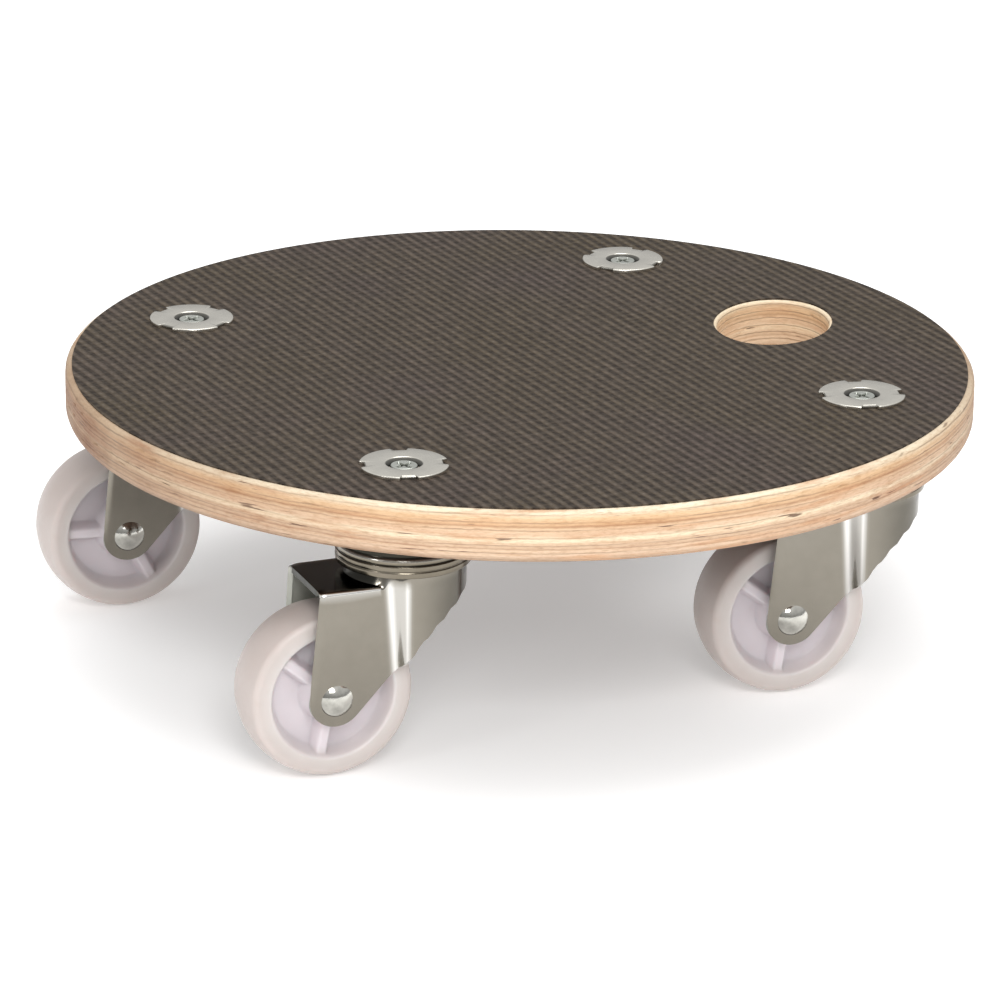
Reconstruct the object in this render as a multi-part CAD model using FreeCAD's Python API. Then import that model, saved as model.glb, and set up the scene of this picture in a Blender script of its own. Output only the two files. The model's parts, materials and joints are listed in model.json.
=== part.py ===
"""Plant pot caddy: a round plywood deck on four swivel casters.

Millimetres. The origin is on the floor under the deck's centre, +Z is up and +X points to the
finger hole. Each caster is drawn once about its own kingpin, trailing along +X with its kingpin
axis on the Z axis, and is then turned and moved to its place.
"""

import math
import os

import FreeCAD, Part

Vector = FreeCAD.Vector
UP = Vector(0, 0, 1)
ACROSS = Vector(0, 1, 0)

# Deck: a plywood disc with a mesh-textured film on top and a plain film underneath.
DECK_RADIUS = 136.1
DECK_UNDERSIDE = 71.6
DECK_TOP = 88.1
TOP_FILM_THICKNESS = 0.5
BOTTOM_FILM_THICKNESS = 0.3
TOP_EDGE_ROUND = 2.1
BOTTOM_EDGE_ROUND = 4.0

# Finger hole: an oval near the rim.
HOLE_OFFSET = 87.2
HOLE_HALF_LENGTH = 23.0
HOLE_HALF_WIDTH = 17.0
HOLE_TURN_DEG = 50.0
HOLE_EDGE_ROUND = 1.0

# Casters: a square pattern, each with the direction that its wheel trails in.
CASTER_SPACING = 149.4
CASTERS = {
    "front_left": (-1, -1, 175.3),
    "front_right": (1, -1, 171.9),
    "back_left": (-1, 1, 174.4),
    "back_right": (1, 1, 173.9),
}
TRAIL = 24.3
RUNNING_GAP = 0.05
CLEAR = 1.0

# Wheel: one nylon moulding with a crowned tread, dished sides and three ribs a side.
WHEEL_RADIUS = 25.0
WHEEL_HALF_WIDTH = 9.0
TREAD_CROWN_RADIUS = 27.0
TREAD_SHOULDER = 2.0
RIM_INNER_RADIUS = 17.9
RIM_DRAFT = 0.7
WEB_HALF_THICKNESS = 3.5
HUB_RADIUS = 7.5
HUB_DRAFT = 0.5
HUB_HALF_LENGTH = 9.4
RIB_COUNT = 3
RIB_THICKNESS = 4.0
RIB_HALF_WIDTH = 7.4
RIB_ROOT = 0.7
WHEEL_TURNS_DEG = {"front_left": 40, "front_right": 38, "back_left": 2, "back_right": 75}

# Axle: a solid rivet through a spacer sleeve that the wheel turns on.
RIVET_RADIUS = 3.0
RIVET_HEAD_RADIUS = 5.0
RIVET_HEAD_HEIGHT = 2.1
SLEEVE_RADIUS = 4.4
SEAT_CLEARANCE = 0.1

# Fork: pressed from one sheet. Its legs splay upwards, and lean outwards to a round bulb at the
# kingpin through a neck whose front crease is slanted.
SHEET = 1.8
LEG_OUTER_AT_AXLE = 11.9
LEG_SPLAY = 0.056
LEG_END_RADIUS = 8.1
LEG_CORNER = (7.0, 32.2)
REAR_EDGE_MIDDLE = (-2.6, 44.9)
REAR_EDGE_HEIGHT = 55.0
BULB_RADIUS = 18.0
NECK_FRONT_AT_AXLE = 6.0
NECK_LEAN = 0.096
NECK_BACK = 5.4
SHELF_TOP = 58.2
SHELF_FRONT = 30.0
SHELF_HOLLOW = 0.4
CROWN_TOP = 63.0
CROWN_RADIUS = 15.6
BULB_WALL_TOP = 60.4
KINGPIN_CLEARANCE_RADIUS = 6.2
FORK_HALF_SPAN = 30.0

# Swivel head.
CAP_RADIUS = 19.5
CAP_BOTTOM = 61.3
CAP_SHEET = 1.6
CAP_SEAT_RADIUS = 9.0
CAP_RACE_INNER = 9.8
CAP_RACE_OUTER = 14.6
CAP_ROOF_INNER = 15.8
CAP_STEP_SHIFT = 0.8
CAP_EDGE = 0.6
GROOVE_HEIGHTS = (65.6, 63.5, 62.4)
GROOVE_DEPTH = 0.4
GROOVE_HALF_WIDTH = 0.35
UPPER_BALL_RADIUS = 2.2
UPPER_BALL_CIRCLE = 12.0
LOWER_BALL_RADIUS = 1.5
LOWER_BALL_CIRCLE = 7.1
RACE_DEPTH = 0.6
BALL_SPACING_GAP = 0.35
LOWER_RACE_RADIUS = 9.2
LOWER_RACE_THICKNESS = 1.6
KINGPIN_RADIUS = 5.4
KINGPIN_TOP_FLANGE = 8.8
KINGPIN_BOTTOM_FLANGE = 7.6
KINGPIN_FLANGE_THICKNESS = 1.4
CAP_HUB_DROP = 1.6

# Fixing: an M8 hexagon bolt from below into a four-pronged tee nut.
BOLT_RADIUS = 3.95
BOLT_BORE = 4.1
BOLT_END = 88.6
BOLT_CHAMFER = 0.3
BOLT_HEAD_HEIGHT = 5.3
BOLT_HEAD_ACROSS_FLATS = 13.0
CROSS_LENGTH = 5.8
CROSS_WIDTH = 1.3
CROSS_DEPTH = 0.9
CROSS_TURN_DEG = 18.0
TEE_FLANGE_RADIUS = 12.8
TEE_FLANGE_THICKNESS = 1.1
TEE_BARREL_RADIUS = 5.2
TEE_BARREL_LENGTH = 11.0
TEE_MOUTH_RADIUS = 5.4
TEE_MOUTH_DEPTH = 1.8
PRONG_COUNT = 4
PRONG_WIDTH = 3.6
PRONG_TIP_WIDTH = 0.8
PRONG_LENGTH = 7.0
PRONG_THICKNESS = 1.1
PRONG_INSET = 1.6
NOTCH_BASE_WIDTH = 4.0
NOTCH_MOUTH_WIDTH = 5.6
TEE_NUT_TURNS_DEG = {"front_left": 71, "front_right": 71, "back_left": 27, "back_right": 36}
DECK_BORE = 5.3

# Heights that follow from the sizes above.
AXLE_HEIGHT = WHEEL_RADIUS
SLEEVE_END_GAP = 0.05
SLEEVE_HALF_LENGTH = LEG_OUTER_AT_AXLE - SHEET - LEG_SPLAY * SLEEVE_RADIUS - SLEEVE_END_GAP
RIVET_SEAT = LEG_OUTER_AT_AXLE - LEG_SPLAY * RIVET_HEAD_RADIUS
CROWN_UNDERSIDE = CROWN_TOP - SHEET
UPPER_BALL_HEIGHT = CROWN_TOP - RACE_DEPTH + UPPER_BALL_RADIUS
LOWER_BALL_HEIGHT = CROWN_UNDERSIDE + RACE_DEPTH - LOWER_BALL_RADIUS
CAP_RACE_UNDERSIDE = UPPER_BALL_HEIGHT + UPPER_BALL_RADIUS - RACE_DEPTH
LOWER_RACE_TOP = LOWER_BALL_HEIGHT - LOWER_BALL_RADIUS + RACE_DEPTH
LOWER_RACE_UNDERSIDE = LOWER_RACE_TOP - LOWER_RACE_THICKNESS
KINGPIN_FOOT = LOWER_RACE_UNDERSIDE - KINGPIN_FLANGE_THICKNESS
CAP_HUB_TOP = DECK_UNDERSIDE - CAP_HUB_DROP
CORE_TOP = DECK_TOP - TOP_FILM_THICKNESS
CORE_BOTTOM = DECK_UNDERSIDE + BOTTOM_FILM_THICKNESS


def cylinder(radius, bottom, top):
    """A round bar about the Z axis."""
    return Part.makeCylinder(radius, top - bottom, Vector(0, 0, bottom))


def ring(outer, inner, bottom, top):
    """A flat ring about the Z axis."""
    return cylinder(outer, bottom, top).cut(cylinder(inner, bottom - CLEAR, top + CLEAR))


def turned(points):
    """A solid turned about the Z axis from a closed outline of (radius, height) points."""
    outline = Part.makePolygon([Vector(r, 0, z) for r, z in points + points[:1]])
    return Part.Face(outline).revolve(Vector(), UP, 360)


def turned_edges(edges):
    """A solid turned about the Z axis from edges in the XZ plane."""
    return Part.Face(Part.Wire(edges)).revolve(Vector(), UP, 360)


def line(start, end):
    """A straight edge between two (radius, height) points."""
    return Part.makeLine(Vector(start[0], 0, start[1]), Vector(end[0], 0, end[1]))


def arc(start, middle, end):
    """A circular edge through three (radius, height) points."""
    ends = [Vector(p[0], 0, p[1]) for p in (start, middle, end)]
    return Part.Arc(*ends).toShape()


def quarter_point(centre, radius, angle_deg):
    """A point on a circle in the XZ plane."""
    angle = math.radians(angle_deg)
    return (centre[0] + radius * math.cos(angle), centre[1] + radius * math.sin(angle))


def ball_ring(count, circle_radius, ball_radius, height):
    """Separate balls, evenly spaced round the Z axis."""
    balls = []
    for index in range(count):
        angle = 2 * math.pi * index / count
        place = Vector(circle_radius * math.cos(angle), circle_radius * math.sin(angle), height)
        balls.append(Part.makeSphere(ball_radius, place))
    return Part.makeCompound(balls)


def balls_that_fit(circle_radius, ball_radius):
    """How many balls fit round a circle with a small gap between them."""
    return int(2 * math.pi * circle_radius / (2 * ball_radius + BALL_SPACING_GAP))


def race_groove(circle_radius, ball_radius, height):
    """The torus that a row of balls runs in."""
    return Part.makeTorus(circle_radius, ball_radius + RUNNING_GAP, Vector(0, 0, height))


# --- deck -------------------------------------------------------------------------------------


def oval_prism(grow, bottom, top):
    """The finger hole's oval, grown outwards and drawn up from bottom to top."""
    ellipse = Part.Ellipse(Vector(), HOLE_HALF_LENGTH + grow, HOLE_HALF_WIDTH + grow)
    face = Part.Face(Part.Wire(ellipse.toShape()))
    prism = face.extrude(Vector(0, 0, top - bottom))
    prism.rotate(Vector(), UP, HOLE_TURN_DEG)
    prism.translate(Vector(HOLE_OFFSET, 0, bottom))
    return prism


def deck_bores(bottom, top):
    """The four holes for the tee nuts' barrels."""
    bores = [at_caster(cylinder(DECK_BORE, bottom, top), name, 0) for name in CASTERS]
    return bores[0].multiFuse(bores[1:])


def plywood():
    """The deck's core, with rounded rims and an eased finger hole."""
    top_centre = (DECK_RADIUS - TOP_EDGE_ROUND, CORE_TOP - TOP_EDGE_ROUND)
    bottom_centre = (DECK_RADIUS - BOTTOM_EDGE_ROUND, CORE_BOTTOM + BOTTOM_EDGE_ROUND)
    edges = [
        line((0, CORE_BOTTOM), (bottom_centre[0], CORE_BOTTOM)),
        arc(
            (bottom_centre[0], CORE_BOTTOM),
            quarter_point(bottom_centre, BOTTOM_EDGE_ROUND, -45),
            (DECK_RADIUS, bottom_centre[1]),
        ),
        line((DECK_RADIUS, bottom_centre[1]), (DECK_RADIUS, top_centre[1])),
        arc(
            (DECK_RADIUS, top_centre[1]),
            quarter_point(top_centre, TOP_EDGE_ROUND, 45),
            (top_centre[0], CORE_TOP),
        ),
        line((top_centre[0], CORE_TOP), (0, CORE_TOP)),
        line((0, CORE_TOP), (0, CORE_BOTTOM)),
    ]
    core = turned_edges(edges)
    core = core.cut(oval_prism(0, CORE_BOTTOM - CLEAR, CORE_TOP + CLEAR))
    rims = [edge for edge in core.Edges if is_hole_rim(edge)]
    core = core.makeFillet(HOLE_EDGE_ROUND, rims)
    core = core.cut(deck_bores(CORE_BOTTOM - CLEAR, CORE_TOP + CLEAR))
    return core.cut(all_prong_slots())


def is_hole_rim(edge):
    """True for the two edges where the finger hole meets the deck's faces."""
    box = edge.BoundBox
    centred = abs(box.Center.x - HOLE_OFFSET) < CLEAR and abs(box.Center.y) < CLEAR
    return centred and box.ZLength < RUNNING_GAP


def film(radius, bottom, top):
    """A thin disc with the finger hole, the bores and the prong slots cut through it."""
    disc = cylinder(radius, bottom, top)
    disc = disc.cut(oval_prism(HOLE_EDGE_ROUND, bottom - CLEAR, top + CLEAR))
    disc = disc.cut(deck_bores(bottom - CLEAR, top + CLEAR))
    return disc.cut(all_prong_slots())


# --- tee nut and bolt -------------------------------------------------------------------------


def prong():
    """One prong: the rim's tab bent straight down to a point, drawn on the +X side."""
    inner = TEE_FLANGE_RADIUS - PRONG_INSET - PRONG_THICKNESS
    top = DECK_TOP + TEE_FLANGE_THICKNESS
    tip = DECK_TOP - PRONG_LENGTH
    half = PRONG_WIDTH / 2
    half_tip = PRONG_TIP_WIDTH / 2
    right = [(half, top), (half, DECK_TOP), (half_tip, tip)]
    points = right + [(-y, z) for y, z in reversed(right)]
    outline = [Vector(inner, y, z) for y, z in points + points[:1]]
    return Part.Face(Part.makePolygon(outline)).extrude(Vector(PRONG_THICKNESS, 0, 0))


def around(shape, count):
    """Copies of a shape, evenly turned about the Z axis."""
    copies = []
    for index in range(count):
        copy = shape.copy()
        copy.rotate(Vector(), UP, 360 * index / count)
        copies.append(copy)
    return copies


def all_prong_slots():
    """The slots that the prongs press into the deck."""
    slots = []
    for name in CASTERS:
        for slot in around(prong(), PRONG_COUNT):
            slot.rotate(Vector(), UP, TEE_NUT_TURNS_DEG[name])
            slots.append(at_caster(slot, name, 0))
    return slots[0].multiFuse(slots[1:])


def notch():
    """The gap that a prong's tab leaves in the flange's rim, wider at its mouth."""
    base = TEE_FLANGE_RADIUS - PRONG_INSET
    mouth = TEE_FLANGE_RADIUS + CLEAR
    side = [(base, NOTCH_BASE_WIDTH / 2), (mouth, NOTCH_MOUTH_WIDTH / 2)]
    points = side + [(r, -y) for r, y in reversed(side)]
    outline = [Vector(r, y, DECK_TOP - CLEAR) for r, y in points + points[:1]]
    height = TEE_FLANGE_THICKNESS + 2 * CLEAR
    return Part.Face(Part.makePolygon(outline)).extrude(Vector(0, 0, height))


def tee_nut(name):
    """A stamped tee nut: round flange with cut-out prongs, and a barrel with a flared mouth."""
    flange_top = DECK_TOP + TEE_FLANGE_THICKNESS
    barrel_bottom = flange_top - TEE_BARREL_LENGTH
    barrel_bore = BOLT_RADIUS + RUNNING_GAP
    throat = (barrel_bore, flange_top - TEE_MOUTH_DEPTH)
    edges = [
        line((barrel_bore, barrel_bottom), (TEE_BARREL_RADIUS, barrel_bottom)),
        line((TEE_BARREL_RADIUS, barrel_bottom), (TEE_BARREL_RADIUS, DECK_TOP)),
        line((TEE_BARREL_RADIUS, DECK_TOP), (TEE_FLANGE_RADIUS, DECK_TOP)),
        line((TEE_FLANGE_RADIUS, DECK_TOP), (TEE_FLANGE_RADIUS, flange_top)),
        line((TEE_FLANGE_RADIUS, flange_top), (TEE_MOUTH_RADIUS, flange_top)),
        line((TEE_MOUTH_RADIUS, flange_top), throat),
        line(throat, (barrel_bore, barrel_bottom)),
    ]
    nut = turned_edges(edges)
    for cut_out in around(notch(), PRONG_COUNT):
        nut = nut.cut(cut_out)
    nut = nut.multiFuse(around(prong(), PRONG_COUNT)).removeSplitter()
    nut.rotate(Vector(), UP, TEE_NUT_TURNS_DEG[name])
    return nut


def bolt():
    """The M8 hexagon bolt, head down, with a cross recess in its upper end."""
    head_bottom = KINGPIN_FOOT - BOLT_HEAD_HEIGHT
    shank = turned(
        [
            (0, KINGPIN_FOOT),
            (BOLT_RADIUS, KINGPIN_FOOT),
            (BOLT_RADIUS, BOLT_END - BOLT_CHAMFER),
            (BOLT_RADIUS - BOLT_CHAMFER, BOLT_END),
            (0, BOLT_END),
        ]
    )
    corner = BOLT_HEAD_ACROSS_FLATS / math.sqrt(3)
    corners = [quarter_point((0, 0), corner, 60 * index) for index in range(7)]
    hexagon = Part.Face(Part.makePolygon([Vector(x, y, head_bottom) for x, y in corners]))
    head = hexagon.extrude(Vector(0, 0, BOLT_HEAD_HEIGHT))
    foot = BOLT_HEAD_ACROSS_FLATS / 2
    bevel = Part.makeCone(foot, foot + 2 * BOLT_HEAD_HEIGHT, BOLT_HEAD_HEIGHT, Vector(0, 0, head_bottom))
    head = head.common(bevel)
    slot = Part.makeBox(
        CROSS_LENGTH,
        CROSS_WIDTH,
        CROSS_DEPTH + CLEAR,
        Vector(-CROSS_LENGTH / 2, -CROSS_WIDTH / 2, BOLT_END - CROSS_DEPTH),
    )
    slot.rotate(Vector(), UP, CROSS_TURN_DEG)
    cross = slot.multiFuse(around(slot, 4)[1:2])
    return shank.fuse(head).removeSplitter().cut(cross)


# --- swivel head ------------------------------------------------------------------------------


def kingpin():
    """The hollow rivet that holds the cap and the lower race together."""
    top = DECK_UNDERSIDE
    tube = ring(KINGPIN_RADIUS, BOLT_BORE, KINGPIN_FOOT, top)
    upper = ring(KINGPIN_TOP_FLANGE, BOLT_BORE, CAP_HUB_TOP, top)
    lower = ring(KINGPIN_BOTTOM_FLANGE, BOLT_BORE, KINGPIN_FOOT, LOWER_RACE_UNDERSIDE)
    return tube.multiFuse([upper, lower]).removeSplitter()


def skirt_grooves():
    """The outline of the skirt's grooves, from the top one down."""
    points = []
    for height in GROOVE_HEIGHTS:
        points.append((CAP_RADIUS, height + GROOVE_HALF_WIDTH))
        points.append((CAP_RADIUS - GROOVE_DEPTH, height))
        points.append((CAP_RADIUS, height - GROOVE_HALF_WIDTH))
    return points


def swivel_cap():
    """The pressed cap: hub seat, dropped ball race, flat rim under the deck, grooved skirt."""
    race_top = CAP_RACE_UNDERSIDE + CAP_SHEET
    roof_bottom = DECK_UNDERSIDE - CAP_SHEET
    hub_bottom = CAP_HUB_TOP - CAP_SHEET
    skirt_inner = CAP_RADIUS - CAP_SHEET
    outside = [
        (KINGPIN_RADIUS, CAP_HUB_TOP),
        (CAP_SEAT_RADIUS, CAP_HUB_TOP),
        (CAP_RACE_INNER, race_top),
        (CAP_RACE_OUTER, race_top),
        (CAP_ROOF_INNER, DECK_UNDERSIDE),
        (CAP_RADIUS - CAP_EDGE, DECK_UNDERSIDE),
        (CAP_RADIUS, DECK_UNDERSIDE - CAP_EDGE),
    ]
    inside = [
        (CAP_RADIUS, CAP_BOTTOM),
        (skirt_inner, CAP_BOTTOM),
        (skirt_inner, roof_bottom),
        (CAP_ROOF_INNER + CAP_STEP_SHIFT, roof_bottom),
        (CAP_RACE_OUTER + CAP_STEP_SHIFT, CAP_RACE_UNDERSIDE),
        (CAP_RACE_INNER - CAP_STEP_SHIFT, CAP_RACE_UNDERSIDE),
        (CAP_SEAT_RADIUS - CAP_STEP_SHIFT, hub_bottom),
        (KINGPIN_RADIUS, hub_bottom),
    ]
    cap = turned(outside + skirt_grooves() + inside)
    return cap.cut(race_groove(UPPER_BALL_CIRCLE, UPPER_BALL_RADIUS, UPPER_BALL_HEIGHT))


def lower_race():
    """The grooved washer under the crown that the lower balls run on."""
    washer = ring(LOWER_RACE_RADIUS, KINGPIN_RADIUS, LOWER_RACE_UNDERSIDE, LOWER_RACE_TOP)
    return washer.cut(race_groove(LOWER_BALL_CIRCLE, LOWER_BALL_RADIUS, LOWER_BALL_HEIGHT))


# --- fork -------------------------------------------------------------------------------------


def neck_points(inset, level):
    """Where the neck meets the leg and the bulb at a level, for a skin inset from the outer one."""
    front_s = NECK_FRONT_AT_AXLE + NECK_LEAN * (level - AXLE_HEIGHT)
    leg = leg_half_width(level)
    side = math.sqrt(BULB_RADIUS**2 - NECK_BACK**2)
    length = math.hypot(NECK_BACK - front_s, side - leg)
    along = ((NECK_BACK - front_s) / length, (side - leg) / length)
    shifted = (front_s - inset * along[1], leg + inset * along[0])
    to_leg = (leg - inset - shifted[1]) / along[1]
    reach = shifted[0] * along[0] + shifted[1] * along[1]
    spare = shifted[0] ** 2 + shifted[1] ** 2 - (BULB_RADIUS - inset) ** 2
    to_bulb = -reach + math.sqrt(reach**2 - spare)
    return [(shifted[0] + t * along[0], shifted[1] + t * along[1]) for t in (to_leg, to_bulb)]


def leg_half_width(level):
    """How far the leg's outer face is from the fork's middle at a level."""
    return LEG_OUTER_AT_AXLE + LEG_SPLAY * (level - AXLE_HEIGHT)


def fork_plan(inset, level):
    """The fork's outline at a level: straight legs that widen into a round bulb at the kingpin."""
    leg, bulb = neck_points(inset, level)
    front = SHELF_FRONT + LEG_END_RADIUS
    side = [Vector(front, leg[1], level), Vector(*leg, level), Vector(*bulb, level)]
    other = [Vector(p.x, -p.y, p.z) for p in reversed(side)]
    back = Part.Arc(side[-1], Vector(inset - BULB_RADIUS, 0, level), other[0]).toShape()
    edges = [Part.makeLine(a, b) for a, b in zip(side, side[1:])]
    edges.append(back)
    edges += [Part.makeLine(a, b) for a, b in zip(other, other[1:])]
    edges.append(Part.makeLine(other[-1], side[0]))
    return Part.Wire(edges)


def fork_block(inset):
    """The solid inside the fork's skin, that skin being inset from the outer one."""
    foot = AXLE_HEIGHT - LEG_END_RADIUS - CLEAR
    prism = Part.makeLoft([fork_plan(inset, foot), fork_plan(inset, CROWN_TOP + CLEAR)], True, True)
    shelf = SHELF_TOP - inset
    below_shelf = Part.makeBox(
        2 * FORK_HALF_SPAN + BULB_RADIUS,
        2 * FORK_HALF_SPAN,
        shelf,
        Vector(-FORK_HALF_SPAN, -FORK_HALF_SPAN, 0),
    )
    wall = BULB_RADIUS - inset
    slope = math.hypot(BULB_RADIUS - CROWN_RADIUS, CROWN_TOP - BULB_WALL_TOP)
    crown_inset = inset * (slope - (CROWN_TOP - BULB_WALL_TOP)) / (BULB_RADIUS - CROWN_RADIUS)
    neck = turned(
        [
            (0, shelf - CLEAR),
            (wall, shelf - CLEAR),
            (wall, BULB_WALL_TOP - crown_inset),
            (CROWN_RADIUS - crown_inset, CROWN_TOP - inset),
            (0, CROWN_TOP - inset),
        ]
    )
    return prism.common(below_shelf.fuse(neck))


def tangent_angle(centre, radius, point, side):
    """The angle on a circle where a line from a point touches it; side is +1 or -1."""
    away = (point[0] - centre[0], point[1] - centre[1])
    half = math.degrees(math.acos(radius / math.hypot(*away)))
    return math.degrees(math.atan2(away[1], away[0])) + side * half


def leg_outline():
    """The fork's side view: legs that taper down and back from the crown to the axle."""
    axle = (TRAIL, AXLE_HEIGHT)
    front_top = (SHELF_FRONT, SHELF_TOP - SHEET)
    front_angle = tangent_angle(axle, LEG_END_RADIUS, front_top, -1)
    back_angle = tangent_angle(axle, LEG_END_RADIUS, LEG_CORNER, 1)
    front_touch = quarter_point(axle, LEG_END_RADIUS, front_angle)
    back_touch = quarter_point(axle, LEG_END_RADIUS, back_angle)
    lowest = quarter_point(axle, LEG_END_RADIUS, -90)
    top = CROWN_TOP + CLEAR
    rear_edge = (-BULB_RADIUS, REAR_EDGE_HEIGHT)
    behind = -BULB_RADIUS - CLEAR
    edges = [
        line((SHELF_FRONT, top), front_top),
        line(front_top, front_touch),
        arc(front_touch, lowest, back_touch),
        line(back_touch, LEG_CORNER),
        arc(LEG_CORNER, REAR_EDGE_MIDDLE, rear_edge),
        line(rear_edge, (behind, REAR_EDGE_HEIGHT)),
        line((behind, REAR_EDGE_HEIGHT), (behind, top)),
        line((behind, top), (SHELF_FRONT, top)),
    ]
    side = Part.Face(Part.Wire(edges))
    side.translate(ACROSS * -FORK_HALF_SPAN)
    return side.extrude(ACROSS * 2 * FORK_HALF_SPAN)


def shelf_front_hollow():
    """The shallow curve cut out of the shelf's front edge, between the legs."""
    half = leg_half_width(SHELF_TOP) - SHEET
    radius = (half**2 + SHELF_HOLLOW**2) / (2 * SHELF_HOLLOW)
    disc = cylinder(radius, SHELF_TOP - SHEET - CLEAR, CROWN_TOP)
    disc.translate(Vector(SHELF_FRONT - SHELF_HOLLOW + radius, 0, 0))
    between_legs = Part.makeBox(2 * radius, 2 * half, CROWN_TOP, Vector(0, -half, 0))
    return disc.common(between_legs)


def rivet_seats():
    """The flat spots that the rivet's heads bear on, cut square into the splayed legs."""
    radius = RIVET_HEAD_RADIUS + SEAT_CLEARANCE
    outside = axle_bar(radius, FORK_HALF_SPAN)
    return outside.cut(axle_bar(radius + CLEAR, RIVET_SEAT))


def fork():
    """The pressed fork: outer block less inner block, trimmed to its side view."""
    shell = fork_block(0).cut(fork_block(SHEET)).common(leg_outline())
    shell = shell.cut(shelf_front_hollow())
    shell = shell.cut(cylinder(KINGPIN_CLEARANCE_RADIUS, SHELF_TOP, CROWN_TOP + CLEAR))
    shell = shell.cut(race_groove(UPPER_BALL_CIRCLE, UPPER_BALL_RADIUS, UPPER_BALL_HEIGHT))
    shell = shell.cut(race_groove(LOWER_BALL_CIRCLE, LOWER_BALL_RADIUS, LOWER_BALL_HEIGHT))
    shell = shell.cut(axle_bar(RIVET_RADIUS + RUNNING_GAP, FORK_HALF_SPAN))
    return shell.cut(rivet_seats())


# --- axle and wheel ---------------------------------------------------------------------------


def axle_bar(radius, half_length):
    """A bar along the axle, centred on the wheel."""
    return Part.makeCylinder(radius, 2 * half_length, Vector(TRAIL, -half_length, AXLE_HEIGHT), ACROSS)


def on_axle(shape):
    """Turns a shape drawn about the Z axis so that it lies about the axle."""
    shape.rotate(Vector(), Vector(1, 0, 0), 90)
    shape.translate(Vector(TRAIL, 0, AXLE_HEIGHT))
    return shape


def rivet():
    """The axle rivet, with a domed head on each side."""
    body = axle_bar(RIVET_RADIUS, RIVET_SEAT + RIVET_HEAD_HEIGHT / 2)
    dome_radius = (RIVET_HEAD_RADIUS**2 + RIVET_HEAD_HEIGHT**2) / (2 * RIVET_HEAD_HEIGHT)
    dome_centre = RIVET_SEAT + RIVET_HEAD_HEIGHT - dome_radius
    dome = Part.makeSphere(dome_radius, Vector(0, 0, dome_centre))
    dome = dome.common(cylinder(dome_radius, RIVET_SEAT, RIVET_SEAT + RIVET_HEAD_HEIGHT))
    other = dome.mirror(Vector(), UP)
    return body.multiFuse([on_axle(dome), on_axle(other)]).removeSplitter()


def axle_sleeve():
    """The spacer tube between the legs that the wheel turns on."""
    bore = axle_bar(RIVET_RADIUS + RUNNING_GAP, SLEEVE_HALF_LENGTH + CLEAR)
    return axle_bar(SLEEVE_RADIUS, SLEEVE_HALF_LENGTH).cut(bore)


def wheel(turn_deg):
    """The nylon wheel: crowned tread, dished sides, hub and ribs."""
    crown_centre = (WHEEL_RADIUS - TREAD_CROWN_RADIUS, 0)
    shoulder_z = WHEEL_HALF_WIDTH - TREAD_SHOULDER
    crown_end_deg = math.degrees(math.asin(shoulder_z / TREAD_CROWN_RADIUS))
    shoulder = quarter_point(crown_centre, TREAD_CROWN_RADIUS, crown_end_deg)
    side_r = shoulder[0] - TREAD_SHOULDER
    web_outer_r = RIM_INNER_RADIUS - RIM_DRAFT
    web_inner_r = HUB_RADIUS + HUB_DRAFT
    bore = SLEEVE_RADIUS + RUNNING_GAP
    upper = [
        arc((WHEEL_RADIUS, 0), quarter_point(crown_centre, TREAD_CROWN_RADIUS, crown_end_deg / 2), shoulder),
        arc(shoulder, quarter_point((side_r, shoulder_z), TREAD_SHOULDER, 45), (side_r, WHEEL_HALF_WIDTH)),
        line((side_r, WHEEL_HALF_WIDTH), (RIM_INNER_RADIUS, WHEEL_HALF_WIDTH)),
        line((RIM_INNER_RADIUS, WHEEL_HALF_WIDTH), (web_outer_r, WEB_HALF_THICKNESS)),
        line((web_outer_r, WEB_HALF_THICKNESS), (web_inner_r, WEB_HALF_THICKNESS)),
        line((web_inner_r, WEB_HALF_THICKNESS), (HUB_RADIUS, HUB_HALF_LENGTH)),
        line((HUB_RADIUS, HUB_HALF_LENGTH), (bore, HUB_HALF_LENGTH)),
        line((bore, HUB_HALF_LENGTH), (bore, 0)),
        line((bore, 0), (WHEEL_RADIUS, 0)),
    ]
    half = turned_edges(upper)
    body = half.fuse(half.mirror(Vector(), UP)).removeSplitter()
    rib_inner = HUB_RADIUS - RIB_ROOT
    rib = Part.makeBox(
        RIM_INNER_RADIUS + RIB_ROOT - rib_inner,
        RIB_THICKNESS,
        2 * RIB_HALF_WIDTH,
        Vector(rib_inner, -RIB_THICKNESS / 2, -RIB_HALF_WIDTH),
    )
    rib.rotate(Vector(), UP, turn_deg)
    body = body.multiFuse(around(rib, RIB_COUNT)).removeSplitter()
    return on_axle(body)


# --- places and files -------------------------------------------------------------------------


def at_caster(shape, name, turn_deg):
    """Turns a shape about the Z axis and moves it to a caster's kingpin."""
    side_x, side_y, _ = CASTERS[name]
    shape.rotate(Vector(), UP, turn_deg)
    shape.translate(Vector(side_x * CASTER_SPACING / 2, side_y * CASTER_SPACING / 2, 0))
    return shape


def save(shape, node):
    """Writes one node and reports its size."""
    shape.exportStep(os.path.join("parts", node + ".step"))
    print(node, "valid" if shape.isValid() else "INVALID", len(shape.Solids), round(shape.Volume, 1))


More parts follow.
